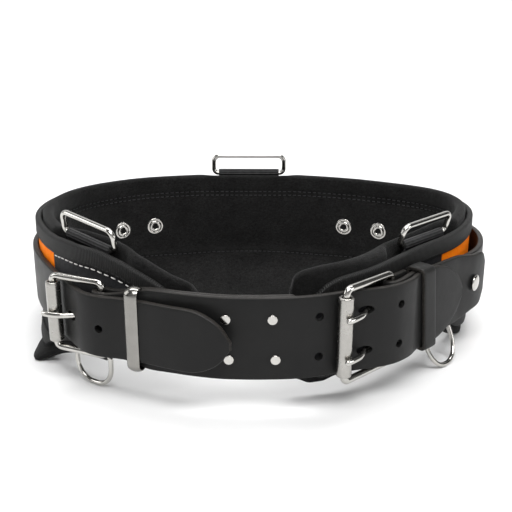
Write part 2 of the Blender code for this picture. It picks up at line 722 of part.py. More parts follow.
def webbing_loop(name, place, half, bar_wire, thick, legs, length, side):
    """Webbing folded around a ring's bar: its legs hang down (side 1) or stand up (side -1)."""
    radius = bar_wire + GAP + thick / 2
    bend = -radius - thick - 1.4
    middle = [(legs[0], -length), (legs[0], bend)]
    for k in range(11):
        angle = math.radians(-62 + 304 * k / 10)
        middle.append((radius * math.cos(angle), radius * math.sin(angle)))
    middle.extend([(legs[1], bend), (legs[1], -length)])
    points = np.array(middle)
    tangents = np.gradient(points, axis=0)
    normals = np.stack([tangents[:, 1], -tangents[:, 0]], 1) / np.hypot(*tangents.T)[:, None]
    outline = np.vstack([points + normals * thick / 2, (points - normals * thick / 2)[::-1]])
    origin, along, outward = place
    rings = []
    for position in (-half, 0.0, half):
        start = origin + along * position
        rings.append([start + outward * across + Vector((0, 0, side * rise)) for across, rise in outline])
    return new_object(name, "nylon", rings, False, 50.0)


def top_ring(name, place, lean, width):
    """A rectangular ring that stands in its webbing and leans outwards, its origin on the held bar."""
    origin, along, outward = place
    path = rounded_box(-width / 2, width / 2, 0.0, RING_HEIGHT, RING_CORNERS, 4)
    return wire("ring_" + name, path, RING_WIRE, True, 10, plane_at(origin, along, leaning(outward, lean)))


def leaning(outward, lean):
    """Upward direction that leans outwards by an angle."""
    return outward * math.sin(math.radians(lean)) + Vector((0, 0, math.cos(math.radians(lean))))


def d_ring(name, place, drop, lean):
    """A D ring that hangs in its webbing tab, its origin on the held bar."""
    origin, along, outward = place
    path = []
    for k in range(4):
        angle = math.radians(90 - 90 * k / 3)
        path.append((D_HALF - D_CORNER + D_CORNER * math.cos(angle), -D_CORNER + D_CORNER * math.sin(angle)))
    for k in range(1, 12):
        angle = math.pi * k / 12
        path.append((D_HALF * math.cos(angle), -D_LEG - (drop - D_LEG) * math.sin(angle)))
    for k in range(4):
        angle = math.radians(180 - 90 * k / 3)
        path.append((-D_HALF + D_CORNER + D_CORNER * math.cos(angle), -D_CORNER + D_CORNER * math.sin(angle)))
    return wire("d_ring_" + name, path, D_WIRE, True, 10, plane_at(origin, along, leaning(outward, -lean)))


def build_pad():
    """Outer cover panels, their bindings and the felt liner."""
    panel = cover("orange_panel", "orange", COVER_START, PANEL_SEAM)
    cover("end_panel_left", "nylon", PANEL_SEAM + GAP, COVER_END)
    binding("top_binding", 1, BINDING_TOP, 1)
    binding("bottom_binding", 2, BINDING_BOTTOM, -1)
    return panel, liner()


def build_back_strap():
    """The narrow strap around the back, through the left buckle, to its pointed tip."""
    arcs = stations(BACK_STRAP[0][0], BACK_STRAP[-1][0], [row[0] for row in BACK_STRAP[1:-1]] + lean_arcs())
    return new_object("back_strap", "leather", strap_rings(run(BACK_STRAP, STRAP, arcs), STRAP, 0.5))


def build_front_strap():
    """The wide strap, from its rounded tip to the left buckle, folded around its heel bar and riveted."""
    heel = LEFT_BUCKLE[:2]
    outer_arcs = stations(FRONT_RUN[-1][0], FRONT_RUN[0][0], [row[0] for row in FRONT_RUN[1:-1]])[::-1]
    inner_arcs = stations(FOLD_RUN[0][0], FOLD_RUN[-1][0], [row[0] for row in FOLD_RUN[1:-1]])
    route = folded_route(FRONT_RUN, FOLD_RUN, FRONT_STRAP, heel, outer_arcs, inner_arcs)
    return new_object("front_strap", "leather", strap_rings(route, FRONT_STRAP, 0.5))


def build_chape():
    """The short strap folded around the right buckle's heel bar and riveted to the back strap."""
    heel = RIGHT_BUCKLE[:2]
    outer_arcs = stations(CHAPE_RUN[-1][0], CHAPE_RUN[0][0], [row[0] for row in CHAPE_RUN[1:-1]])[::-1]
    inner_arcs = [row[0] for row in CHAPE_FOLD_RUN]
    route = folded_route(CHAPE_RUN, CHAPE_FOLD_RUN, CHAPE, heel, outer_arcs, inner_arcs)
    return new_object("right_chape", "leather", strap_rings(route, CHAPE, 0.5))


def build_keepers():
    """The metal loop on the left and the leather loop on the right that hold the strap ends down."""
    inner = widest(FOLD_RUN, METAL_KEEPER_ARC, METAL_KEEPER_HALF, 1) + GAP + METAL_KEEPER
    outer = widest(BACK_STRAP, METAL_KEEPER_ARC + LINE.length, METAL_KEEPER_HALF, 1) + GAP
    half = smooth(FRONT_RUN, 2, METAL_KEEPER_ARC) + METAL_KEEPER_ROOM
    band(
        "metal_keeper", "steel", METAL_KEEPER_ARC, METAL_KEEPER_HALF, inner, outer, MID - half, MID + half,
        METAL_KEEPER, METAL_KEEPER_ENDS, 0.6,
    )
    inner = widest(CHAPE_RUN, LEATHER_KEEPER_ARC, LEATHER_KEEPER_HALF, -1) - CHAPE - GAP
    outer = widest(FRONT_RUN, LEATHER_KEEPER_ARC, LEATHER_KEEPER_HALF, 1) + GAP
    half = smooth(FRONT_RUN, 2, LEATHER_KEEPER_ARC) + GAP
    band(
        "leather_keeper", "leather", LEATHER_KEEPER_ARC, LEATHER_KEEPER_HALF, inner, outer,
        MID - half, MID + half, LEATHER_KEEPER, LEATHER_KEEPER, 0.8,
    )


def build_rings():
    """Top rings and D rings, each with the webbing that holds it."""
    for name, arc, offset, height, tilt, lean, width in TOP_RINGS:
        place = bar_place(arc, offset, height, tilt)
        top_ring(name, place, lean, width)
        webbing_loop(
            "ring_webbing_" + name, place, width / 2 - RING_WEBBING_ROOM, RING_WIRE, WEBBING,
            WEBBING_LEGS, WEBBING_LENGTH, 1,
        )
    for name, arc, offset, height, drop, lean, length in D_RINGS:
        place = bar_place(arc, offset, height)
        d_ring(name, place, drop, lean)
        inner_leg = D_WEBBING_FACE + D_WEBBING / 2 - offset
        legs = (inner_leg + D_WEBBING + GAP, inner_leg)
        webbing_loop("d_webbing_" + name, place, D_WEBBING_HALF, D_WIRE, D_WEBBING, legs, length, -1)


def rivet_profile(shank, inside, outside, back, face):
    """Profile of a rivet: its head behind the back offset, its shank, and its head over the face offset."""
    profile = [(radius, back - rise) for radius, rise in reversed(inside)]
    profile.extend([(shank, back - inside[0][1]), (shank, face + outside[0][1])])
    profile.extend((radius, face + rise) for radius, rise in outside)
    return profile


def build_back_rivets(back_strap, panel, pad):
    """Eyelet rivets through the back strap, the cover and the liner."""
    holes = []
    for index, arc in enumerate(BACK_RIVETS, 1):
        profile = rivet_profile(BACK_RIVET_SHANK, BACK_HEAD_INSIDE, BACK_HEAD_OUTSIDE, LINER_INNER, STRAP)
        turned("back_rivet_%d" % index, profile, arc, MID, LINE.normal(arc), 16)
        radius = BACK_RIVET_SHANK + GAP
        holes.append((arc, MID, radius, LINER_INNER - 4.0, STRAP + 4.0, 2 * radius))
    cutter = cutters("cut_back_rivets", holes)
    for target in (back_strap, panel, pad):
        cut(target, cutter)


def build_front_rivets(front_strap):
    """Rivets through both layers of the front strap, its punched holes and its prong holes."""
    holes = []
    for index, (arc, height) in enumerate(FRONT_RIVETS, 1):
        face = smooth(FRONT_RUN, 1, arc)
        back = smooth(FOLD_RUN, 1, arc) - FRONT_STRAP
        profile = rivet_profile(FRONT_RIVET_SHANK, FRONT_HEAD_INSIDE, FRONT_HEAD_OUTSIDE, back, face)
        turned("front_rivet_%d" % index, profile, arc, height, LINE.normal(arc), 12)
        radius = FRONT_RIVET_SHANK + GAP
        holes.append((arc, height, radius, back - 2.0, face + 2.0, 2 * radius))
    for arc, height in FRONT_HOLES:
        face = smooth(FRONT_RUN, 1, arc)
        holes.append((arc, height, HOLE, face - FRONT_STRAP - 1.5, face + 2.0, 2 * HOLE))
    for height in (MID - PRONG_ROWS, MID + PRONG_ROWS):
        face = smooth(FRONT_RUN, 1, RIGHT_PRONG_HOLE)
        holes.append((RIGHT_PRONG_HOLE, height, PRONG_HOLE_HALF, face - 9.0, face + 6.0, PRONG_HOLE))
    cut(front_strap, cutters("cut_front_holes", holes))
    cut(front_strap, slot_cutter("cut_left_slot", LEFT_BUCKLE[:2], [MID]))


def build_chape_rivet(chape, back_strap):
    """The rivet that holds the right chape to the back strap, and the chape's prong slots."""
    arc, height = CHAPE_RIVET
    face = smooth(CHAPE_RUN, 1, arc)
    back = smooth(BACK_STRAP, 1, arc) - STRAP
    profile = rivet_profile(CHAPE_RIVET_SHANK, CHAPE_HEAD_INSIDE, CHAPE_HEAD_OUTSIDE, back, face)
    turned("chape_rivet", profile, arc, height, LINE.normal(arc), 16)
    radius = CHAPE_RIVET_SHANK + 0.5
    cutter = cutters("cut_chape_rivet", [(arc, height, radius, back - 2.0, face + 2.0, 2 * radius)])
    cut(chape, cutter)
    cut(back_strap, cutter)
    cut(chape, slot_cutter("cut_right_slots", RIGHT_BUCKLE[:2], [MID - PRONG_ROWS, MID + PRONG_ROWS]))


def punch_back_strap(back_strap):
    """The spare hole and the prong hole in the back strap's free end."""
    holes = []
    for arc, height in BACK_HOLES:
        face = smooth(BACK_STRAP, 1, arc + LINE.length)
        holes.append((arc, height, HOLE, face - STRAP - 1.0, face + 2.0, 2 * HOLE))
    face = smooth(BACK_STRAP, 1, LINE.length + LEFT_PRONG_HOLE)
    holes.append((LEFT_PRONG_HOLE, MID, PRONG_HOLE_HALF, face - 9.0, face + 6.0, PRONG_HOLE))
    cut(back_strap, cutters("cut_billet_holes", holes))


def stand_on_ground(parts):
    """Hangs every part from one empty that puts the belt's box on the ground, centred over the origin."""
    belt = bpy.data.objects.new("belt", None)
    bpy.context.scene.collection.objects.link(belt)
    low = Vector((1e9, 1e9, 1e9))
    high = -low
    for part in parts:
        place = Matrix.LocRotScale(part.location, part.rotation_euler, part.scale)
        for vertex in part.data.vertices:
            point = place @ vertex.co
            low = Vector(map(min, low, point))
            high = Vector(map(max, high, point))
    belt.location = (-(low.x + high.x) / 2, -(low.y + high.y) / 2, -low.z)
    for part in bpy.context.scene.objects:
        if part is not belt:
            part.parent = belt


def build():
    clear_scene()
    panel, pad = build_pad()
    back_strap = build_back_strap()
    front_strap = build_front_strap()
    chape = build_chape()
    build_keepers()
    buckle("left", LEFT_BUCKLE, [MID])
    buckle("right", RIGHT_BUCKLE, [MID - PRONG_ROWS, MID + PRONG_ROWS])
    build_rings()
    build_back_rivets(back_strap, panel, pad)
    build_front_rivets(front_strap)
    build_chape_rivet(chape, back_strap)
    punch_back_strap(back_strap)
    stand_on_ground([part for part in bpy.context.scene.objects if not part.hide_render])


build()
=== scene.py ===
"""Looks of the padded back support belt: felt, cloth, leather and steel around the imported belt.

Sizes are in millimetres and angles in degrees, in the design's own place.
SHIFT moves them to the frame's place.
An arc is a distance along the pad's outer line from the middle of the front towards +X.
An offset is a distance outwards from that line, and a negative offset lies inside it.
"""

import math

import bmesh
import bpy
import numpy as np
from mathutils import Matrix, Vector


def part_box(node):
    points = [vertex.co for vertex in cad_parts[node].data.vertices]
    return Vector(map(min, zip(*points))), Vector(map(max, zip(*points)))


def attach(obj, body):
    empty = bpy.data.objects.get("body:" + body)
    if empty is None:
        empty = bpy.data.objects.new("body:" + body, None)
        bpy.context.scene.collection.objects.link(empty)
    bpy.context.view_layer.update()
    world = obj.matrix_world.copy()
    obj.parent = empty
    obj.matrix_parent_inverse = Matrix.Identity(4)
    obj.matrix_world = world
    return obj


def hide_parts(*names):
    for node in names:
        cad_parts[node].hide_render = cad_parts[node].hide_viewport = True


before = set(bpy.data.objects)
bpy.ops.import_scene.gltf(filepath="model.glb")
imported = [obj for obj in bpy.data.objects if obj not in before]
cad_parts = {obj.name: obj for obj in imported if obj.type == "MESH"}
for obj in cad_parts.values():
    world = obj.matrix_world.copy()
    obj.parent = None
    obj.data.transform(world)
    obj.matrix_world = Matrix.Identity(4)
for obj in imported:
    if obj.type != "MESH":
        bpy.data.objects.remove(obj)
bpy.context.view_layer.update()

MM = 0.001
GAP = 0.3
MID = 48.0

# Plan of the pad's outer face, counterclockwise from the middle of the front: x, y
SUPPORT_LINE = [
    (0, -106), (26, -104.5), (50, -97.5), (71, -86), (93, -65), (117, -41.5), (136, -18),
    (148, 7), (153, 35), (145.5, 62), (127, 81), (100, 96.5), (70, 109.5), (0, 124.5),
    (-60, 117.5), (-91, 108), (-116, 93.5), (-139, 70), (-151, 38), (-151, 9), (-143, -18),
    (-126, -50), (-105, -73.5), (-84, -86.5), (-65, -95), (-45, -102), (-24, -105.5),
]

# Pad heights: arc, top and bottom of the outer cover, top and bottom of the liner
PAD_HEIGHTS = [
    (20, 64, 26, 70, 17.5), (22.5, 65, 25, 77.5, 14.3), (27, 66, 22, 80.5, 12.3), (34, 68, 16.5, 82, 9.7),
    (41, 73.5, 15, 83, 9.7), (50, 77, 17, 83.3, 12), (66, 79, 18.5, 83.8, 13.2), (92, 81, 20, 84.8, 15),
    (132, 82.5, 20, 86.3, 15.5), (156, 82.5, 18, 87.5, 13), (176, 82.8, 9.5, 87.5, 2.5),
    (187, 83, 8, 87.5, 0),
    (420, 84, 8, 87.5, 0), (640, 86, 9, 89, 0), (688, 86.6, 10, 89.6, 0), (694, 86.9, 13, 90, 3),
    (700, 87, 16, 90, 6.5), (715, 88, 21, 91, 11.5), (738, 88, 27, 91, 18.3), (752, 86, 31.5, 90, 23),
    (760, 84, 32.5, 89, 24), (773, 79, 33.5, 84.5, 24), (786, 73, 34.5, 79, 24), (795, 67, 36, 76, 24),
    (804, 60, 40, 73, 25.5), (809, 56, 44, 68, 30),
]
# Outward flare of the pad's lower edge where it bears on the ground: arc, flare
PAD_FLARE = [
    (156, 0), (184, 5), (215, 2), (250, 0), (635, 0), (668, 14), (688, 22), (704, 15), (722, 3), (735, 0),
]
# Inward lean of the pad's lower edge where it folds in at the back of the hollow: arc, lean
BACK_LEAN = [(275, 0), (305, 8), (338, 32), (368, 48), (475, 48), (505, 34), (540, 8), (575, 0)]
FLARE_HEIGHT = 28.0
FLARE_KNEE = 9.0
FLARE_SHARE = 0.35
POCKET_LEVELS = (0.73, 0.77)

SHELL = 2.2
BINDING = 0.8
BINDING_TOP = 11.0
BINDING_BOTTOM = 8.0
LINER_OUTER = -4.0
LINER_INNER = -10.5
POCKET_WALL = 3.8
POCKET_HALF = 31.0
POCKET_RAMP = 12.0
BULGE_RAMP = 5.4 * POCKET_RAMP
BULGE_REACH = POCKET_HALF + 8
SWELL_START = 0.35
SWELL_RISE = 0.4
COVER_START = 33.0
PANEL_SEAM = 697.0
COVER_END = 795.0
LINER_START = 20.0
LINER_END = 809.0
LINER_PINCH = 2.5
LINER_RIMS = (2.6, 1.6)
TAPE_BEND = 1.6
COVER_RIM = 0.5

STRAP = 4.0
FRONT_STRAP = 3.5
# Back strap from under the right chape, around the back, to its tip: arc, outer face offset, half width
BACK_STRAP = [
    (150, 6.6, 19), (166, 9.2, 19), (185, 10.6, 19), (208, 9.0, 19), (240, 5.4, 19), (270, 4.3, 19),
    (640, 4.3, 19), (684, 4.4, 19), (698, 4.9, 19), (712, 6.4, 19), (722, 8.5, 19), (731, 11.0, 19),
    (738, 13.8, 19), (746, 17.0, 19), (753.5, 17.9, 19), (760, 17.2, 19), (766, 15.8, 19), (772.5, 15.0, 19),
    (779, 14.9, 19), (785, 15.1, 19), (793, 16.2, 19), (806, 18.6, 19), (812, 19.9, 18.5), (818, 21.3, 16),
    (823, 22.4, 12.5), (827, 23.4, 8), (829.5, 24.0, 3),
]
# Front strap from its rounded tip back to the fold on the left buckle: arc, outer face offset, half width
FRONT_RUN = [
    (146, 14.3, 4), (143.5, 14.2, 9.5), (139, 14.2, 14.5), (133, 14.2, 19), (126, 14.3, 22.5),
    (118, 14.3, 24.6), (107, 13.7, 25), (97, 14.6, 25), (89, 16.7, 25), (79, 17.3, 25), (70, 16.1, 25),
    (60, 13.6, 25), (52, 12.6, 25), (45, 12.2, 25), (35, 12.8, 25), (22, 13.7, 25), (0, 14.0, 25),
    (-18, 13.3, 25), (-33, 11.5, 25), (-49, 10.1, 25), (-58, 10.25, 25), (-65, 10.55, 23.6),
    (-71, 10.8, 22.3), (-80, 11.6, 20), (-86, 13.0, 19.2),
]
# The same strap's inner layer, from the left buckle back to its end under the rivets
FOLD_RUN = [
    (-86, 5.4, 19.2), (-79, 5.0, 20), (-71, 4.9, 22), (-63, 5.0, 23.5), (-49, 6.3, 24.5), (-33, 7.7, 24.5),
    (-18, 9.5, 24.5), (0, 10.2, 24.5), (20, 9.9, 24.5),
]
# Right chape from its cut end back to the fold on the right buckle: arc, outer face offset, half width
CHAPE = 3.5
CHAPE_RUN = [
    (181, 14.4, 11), (177, 14.2, 17.5), (173, 13.9, 19), (166, 13.1, 19.4), (157, 11.6, 21), (146, 10.3, 23),
    (135, 10.2, 23.4), (118, 10.2, 23.6), (107, 9.5, 24.2), (98, 10.4, 24.8), (90, 11.8, 25), (83, 12.9, 25),
]
# The chape's inner layer, from the fold to its end
CHAPE_FOLD_RUN = [(83, 5.3, 25), (90, 4.95, 25), (97, 4.95, 25)]
# Room between a fold and its heel bar, beyond the gap
FOLD_ROOM = 0.15

WIRE = 2.15
ROLLER = 4.4
ROLLER_BORE = 2.75
ROLLER_SIDES = 96
# Turned-in end of a roller: radius, distance from its end
ROLLER_LIP = [
    (ROLLER_BORE, 0.5), (ROLLER_BORE, 0.1), (ROLLER - 0.9, 0.0),
    (ROLLER - 0.35, 0.1), (ROLLER - 0.08, 0.35), (ROLLER, 0.8),
]
# Seam in a roller's sheet: turn back from the buckle's direction, depth, half width in radians
ROLLER_SEAM = (100.0, 0.35, 0.05)
PRONG = 1.75
# Buckles: heel bar arc, heel offset, roller arc, roller offset, centre line height, roller length
LEFT_BUCKLE = (-90.0, 7.4, -121.5, 14.0, 46.3, 38.4)
RIGHT_BUCKLE = (79.0, 7.4, 45.0, 17.2, 56.6, 48.4)
ROLLER_CORNER = 3.6
HEEL_CORNER = 3.4
# Prong from its eye to its tip: share of the way from heel bar to roller, height over the buckle's plane
PRONG_RUN = [
    (0.20, 0.4), (0.33, 0.0), (0.48, 0.2), (0.60, 1.7), (0.71, 4.2), (0.81, 5.8), (0.91, 6.4),
    (1.02, 6.6), (1.10, 6.3),
]
# Eye of a prong around the heel bar: angles of its open end and of its shaft
PRONG_EYE = (-38, -310)
PRONG_ROWS = 12.5
PRONG_HEIGHTS = (MID - PRONG_ROWS, MID + PRONG_ROWS)
PRONG_SLOT = 7.0
SLOT_BEHIND = 9.0
SLOT_AHEAD = 8.0
SLOT_DEPTH = 8.0

METAL_KEEPER_ARC = -66.5
METAL_KEEPER_HALF = 3.9
METAL_KEEPER = 1.3
METAL_KEEPER_ENDS = 1.8
METAL_KEEPER_ROOM = 1.2
METAL_KEEPER_CORNER = 4.6
METAL_KEEPER_CROWN = 0.85
LEATHER_KEEPER_ARC = 107.0
LEATHER_KEEPER_HALF = 6.0
LEATHER_KEEPER = 2.5
LEATHER_KEEPER_SLANT = 3.0
LEATHER_KEEPER_CORNER = 2.2
LEATHER_KEEPER_CROWN = 0.2

# Top rings: name, arc, offset and height of the held bar, tilt along it, outward lean, width
TOP_RINGS = [
    ("left", 728.0, -10.4, 87.2, -5.0, 10.0, 48.0),
    ("right", 130.0, -8.0, 82.4, 0.0, 16.0, 49.0),
    ("back", 422.3, -8.8, 88.4, 0.0, 0.0, 56.5),
]
RING_WIRE = 1.75
RING_HEIGHT = 14.0
RING_CORNERS = [3.6, 3.6, 5.0, 5.0]
RING_WEBBING_ROOM = 4.05
WEBBING = 1.2
WEBBING_LENGTH = 10.0
WEBBING_LEGS = (1.9, 0.4)
# Turn of a webbing around a ring's bar, from one leg to the other
WEBBING_TURN = (-62, 242)

# Lower D rings: name, arc, offset and height of the held bar, drop, outward lean, webbing length
D_RINGS = [("left", 740.0, 2.6, 22.2, 20.4, 0.0, 6.0), ("right", 134.0, 4.2, 23.0, 23.4, 25.0, 26.0)]
D_WIRE = 1.5
D_HALF = 14.0
D_CORNER = 1.9
D_LEG = 6.5
D_ROUND = 0.88
D_WEBBING_HALF = 11.6
D_WEBBING = 0.8
D_WEBBING_FACE = GAP + BINDING + GAP

BACK_RIVETS = [310.0, 340.0, 503.5, 533.5]
# Eyelets: radius inside and outside the belt
EYELETS = (6.7, 5.5)
EYELET_BORE = 2.1
EYELET_RISE = 1.6
EYELET_SINK = 0.1
EYELET_SHANK = 2.85
EYELET_HOLE = 3.2
# Rivets through the folded front strap: arc, height
FRONT_RIVETS = [(-16.5, 60.2), (8.8, 60.2), (-15.0, 35.8), (10.5, 35.8)]
FRONT_RIVET = 2.9
FRONT_RIVET_SHANK = 1.6
FRONT_RIVET_HOLE = 1.9
CHAPE_RIVET = (165.0, MID)
CHAPE_RIVET_SHANK = 2.4
CHAPE_RIVET_HOLE = 2.9
# How far the heads stand off the straps inside and outside, for the front rivets and the chape's
FRONT_SEATS = (0.4, 0.15)
CHAPE_SEATS = (1.2, 0.4)
# The chape rivet's heads inside and outside: radius, rise, height of the rim
CHAPE_HEADS = [(3.8, 1.2, 0.2), (5.5, 2.1, 0.7)]
# Punched holes in the front strap and the back strap's tip: arc, height
FRONT_HOLES = [(32.8, 60.2), (32.8, 35.8), (78.0, 60.5), (78.0, 35.5)]
BACK_HOLES = [(-86.5, 47.0)]
HOLE = 2.5
LEFT_PRONG_HOLE = -109.0
RIGHT_PRONG_HOLE = 58.6
PRONG_HOLE_HALF = 2.6
PRONG_HOLE = 10.2
# How far the prong holes' cutter reaches inwards and outwards from a strap's face
PRONG_REACH = (9.0, 6.0)
# The same for the eyelets' holes
EYELET_REACH = (6.3, 3.7)
# How far the chape rivet's cutter reaches inwards: through both straps, through the chape alone
CHAPE_RIVET_REACH = (11.0, 6.0)
# How far the cutters of plain holes and of rivet holes go past a strap's inner face
HOLE_THROUGH = 1.5
RIVET_THROUGH = 2.0

# Domed end of a wire: share of its width, reach in radii
WIRE_DOME = [(0.97, 0.25), (0.85, 0.55), (0.62, 0.8), (0.3, 0.97)]
# Rounded end of a strap: share that its thickness loses, reach
STRAP_ENDS = [(0.35, 0.35), (0.62, 0.75), (0.8, 1.0)]

# Sampling of the fine meshes
LEATHER_STEP = 1.5
FOLDED_STEP = LEATHER_STEP * 0.8
CLOTH_STEP = 1.6

# Quilting seams of the liner: height
QUILT_SEAMS = [74.4, 71.4, 24.0]
# Channel of a seam, narrow and then wide: depth, half width
QUILT_CHANNEL = [(1.1, 0.8), (0.6, 5.0)]
DEEPEST_DIP = 1.6
# Painted shade in the bottom of a seam: strength, half width
SEAM_SHADE = (0.85, 0.75)
# How far the liner's inner face puffs out between its seams
LINER_PUFF = 0.4
# Unevenness of the liner's inner face: depth, seed of its bumps, length of its bumps
LINER_BUMPS = [(0.22, 11, 34.0), (0.10, 12, 9.0)]
# Puckers of the cover: depth, seed, length, width of the band that they fill by an edge, fading length
PUCKER = (0.16, 21, 16.0, 9.0, 8.0)
TAPE_WAVE = 0.12
TAPE_WAVE_LENGTH = 14.0
# Rows of the liner's faces beside a seam
QUILT_ROWS = (-3.2, -2.0, -1.2, -0.6, 0.0, 0.6, 1.2, 2.0, 3.2)
# The cover's cloth is black along its lower edge and at its front end, where the black is partly black cloth
# and partly painted shade behind the front strap: arc, height
BLACK_AND_SHADE_END = 143.0
BLACK_EDGE = 29.5

# A stitch along its length: share of its length, of its width, lift in radii
STITCH = [(-0.5, 0.35, -0.9), (-0.36, 0.9, 0.1), (0.0, 1.0, 0.45), (0.36, 0.9, 0.1), (0.5, 0.35, -0.9)]
STITCH_SIDES = 6
# Stitches of a seam: pitch, length, radius
WHITE_STITCHES = (5.0, 3.7, 0.5)
TAPE_STITCHES = (3.6, 2.5, 0.22)
QUILT_STITCHES = (4.2, 2.9, 0.34)
QUILT_SPAN = (200, 690)
# How far a seam lies from the edge of its tape: inside it for the tapes' own, below it for the white one
SEAM_INSET = 1.6
LOWER_SEAM_INSET = 1.5
# How far the tapes' seams and the white one stop short of a panel's ends
SEAM_END = 2
# How far the quilting stitches stand out of the bottom of their channel
QUILT_STITCH_RISE = 0.5

# Floor, in metres
FLOOR_HALF = 3.2
FLOOR_FRONT = -1.6
FLOOR_BACK = 1.5
FLOOR_HEIGHT = 2.0
FLOOR_BEND = 0.5
# Soft lights, in metres and watts: name, place, target, size, power
LIGHTS = [
    ("key_box", (0.12, -0.72, 1.15), (0.0, 0.0, 0.0), (1.1, 0.6), 20.5),
    ("top_box", (0.0, 0.3, 1.2), (0.0, 0.0, 0.0), (1.3, 0.5), 7.0),
    ("left_box", (-1.05, -0.05, 0.5), (-0.05, 0.0, 0.05), (0.6, 0.7), 3.5),
    ("back_box", (0.0, 0.45, 1.6), (0.0, 1.3, 0.45), (2.2, 0.5), 24.0),
    ("right_box", (0.75, -0.3, 0.3), (0.15, 0.0, 0.08), (0.25, 0.3), 1.3),
]

# Camera worked out from the photo: place in the design's frame, downward pitch, lens and sensor
CAMERA_PLACE = (0.0, -538.9, 240.6)
CAMERA_PITCH = 18.86
CAMERA_LENS = 57.9
CAMERA_SENSOR = 36.0


def closed_spline(points, count):
    """Points along a closed smooth cubic curve through the given points."""
    knots = np.array(points, float)
    size = len(knots)
    loop = np.vstack([knots, knots[:1]])
    spans = np.hypot(*np.diff(loop, axis=0).T) ** 0.5
    marks = np.concatenate([[0.0], np.cumsum(spans)])
    before = np.roll(spans, 1)
    ahead = np.roll(np.eye(size), 1, 1)
    matrix = np.diag(2 * (before + spans)) + ahead * spans[:, None] + ahead.T * before[:, None]
    slopes = np.diff(loop, axis=0) / spans[:, None]
    bends = np.linalg.solve(matrix, 6 * (slopes - np.roll(slopes, 1, 0)))
    bends = np.vstack([bends, bends[:1]])
    where = np.linspace(0, marks[-1], count, endpoint=False)
    k = np.searchsorted(marks, where, side="right") - 1
    span = spans[k]
    a = (marks[k + 1] - where) / span
    b = (where - marks[k]) / span
    straight = a[:, None] * loop[k] + b[:, None] * loop[k + 1]
    curved = (a**3 - a)[:, None] * bends[k] + (b**3 - b)[:, None] * bends[k + 1]
    return straight + curved * (span**2)[:, None] / 6


class Line:
    """The pad's outer line, read by arc length from the middle of the front."""

    def __init__(self, points, count=2880):
        places = closed_spline(points, count)
        ahead = np.roll(places, -1, 0)
        self.arcs = np.concatenate([[0.0], np.cumsum(np.hypot(*(ahead - places).T))])
        self.length = self.arcs[-1]
        x, y = (ahead - np.roll(places, 1, 0)).T
        samples = np.stack([*places.T, y / np.hypot(x, y), -x / np.hypot(x, y)], 1)
        self.samples = np.vstack([samples, samples[:1]])

    def read(self, arc):
        """Plan point on the line and outward normal at an arc."""
        values = [np.interp(arc % self.length, self.arcs, column) for column in self.samples.T]
        return np.array(values[:2]), np.array(values[2:]) / np.hypot(*values[2:])

    def normal(self, arc):
        """Outward unit normal at an arc."""
        return self.read(arc)[1]

    def place(self, arc, offset):
        """Plan point at an arc and an outward offset."""
        point, normal = self.read(arc)
        return point + normal * offset


LINE = Line(SUPPORT_LINE)


def shift_to_frame():
    """From the design's place to the frame's, read off the left roller."""
    low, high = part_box("left_roller")
    middle = (np.array(low) + np.array(high)) / 2 / MM
    return middle - np.array([*LINE.place(*LEFT_BUCKLE[2:4]), MID])


SHIFT = shift_to_frame()


def smooth(table, column, arc):
    """A column of a table whose first column is the arc, read smoothly and without overshoot."""
    x, y = np.array([(row[0], row[column]) for row in sorted(table)], float).T
    if arc <= x[0]:
        return y[0]
    if arc >= x[-1]:
        return y[-1]
    slopes = np.diff(y) / np.diff(x)
    tangents = np.zeros(len(x))
    for i in range(1, len(x) - 1):
        if slopes[i - 1] * slopes[i] > 0:
            tangents[i] = 2 * slopes[i - 1] * slopes[i] / (slopes[i - 1] + slopes[i])
    k = int(np.searchsorted(x, arc, side="right")) - 1
    span = x[k + 1] - x[k]
    t = (arc - x[k]) / span
    start = (1 + 2 * t) * (1 - t) ** 2 * y[k] + t * (1 - t) ** 2 * span * tangents[k]
    end = t**2 * (3 - 2 * t) * y[k + 1] - t**2 * (1 - t) * span * tangents[k + 1]
    return start + end


def widest(table, arc, half, sign):
    """Furthest outer face of a strap within a short span: outwards for sign 1, inwards for sign -1."""
    return sign * max(sign * smooth(table, 1, arc + step * half) for step in (-1, -0.5, 0, 0.5, 1))


def steps_between(start, end, step):
    """Evenly spaced arcs from start to end, about a step apart."""
    return np.linspace(start, end, max(int(abs(end - start) / step), 2) + 1)


def clipped(value):
    """A share kept between 0 and 1."""
    return min(max(value, 0.0), 1.0)


def ease(share):
    """A share from 0 to 1 with soft ends."""
    return share * share * (3 - 2 * share)


def bow(x, y, across, up, start, end, steps):
    """Points of a round or oval arc about a point, between two angles."""
    angles = np.radians(np.linspace(start, end, steps + 1))
    return [(x + across * math.cos(angle), y + up * math.sin(angle)) for angle in angles]


def ripple(u, v, seed, length, waves=7):
    """Gentle unevenness from -1 to 1 over a surface, with bumps of about the given length."""
    draw = np.random.default_rng(seed)
    total = 0.0
    for _ in range(waves):
        angle = draw.uniform(0, math.pi)
        size = length * draw.uniform(0.6, 1.7)
        phase = draw.uniform(0, 2 * math.pi)
        total += math.sin((u * math.cos(angle) + v * math.sin(angle)) * 2 * math.pi / size + phase)
    return total / waves * 1.6


def behind_ring(arc, ramp, reach):
    """Share and outer face of the liner behind a top ring: share 1 behind it, 0 a ramp beside it.

    The face follows the ring's straight bar as far as the reach from the ring's middle.
    """
    best = (0.0, LINER_OUTER)
    for _, middle, offset, *_ in TOP_RINGS:
        away = arc - middle
        share = clipped(1 - (abs(away) - POCKET_HALF) / ramp)
        if share > best[0]:
            normal = LINE.normal(middle)
            here = middle + min(max(away, -reach), reach)
            gap = np.dot(LINE.place(middle, offset) - LINE.place(here, 0.0), normal)
            bar = float(gap / np.dot(LINE.normal(here), normal))
            best = (ease(share), bar - RING_WIRE - 3 * GAP - WEBBING)
    return best


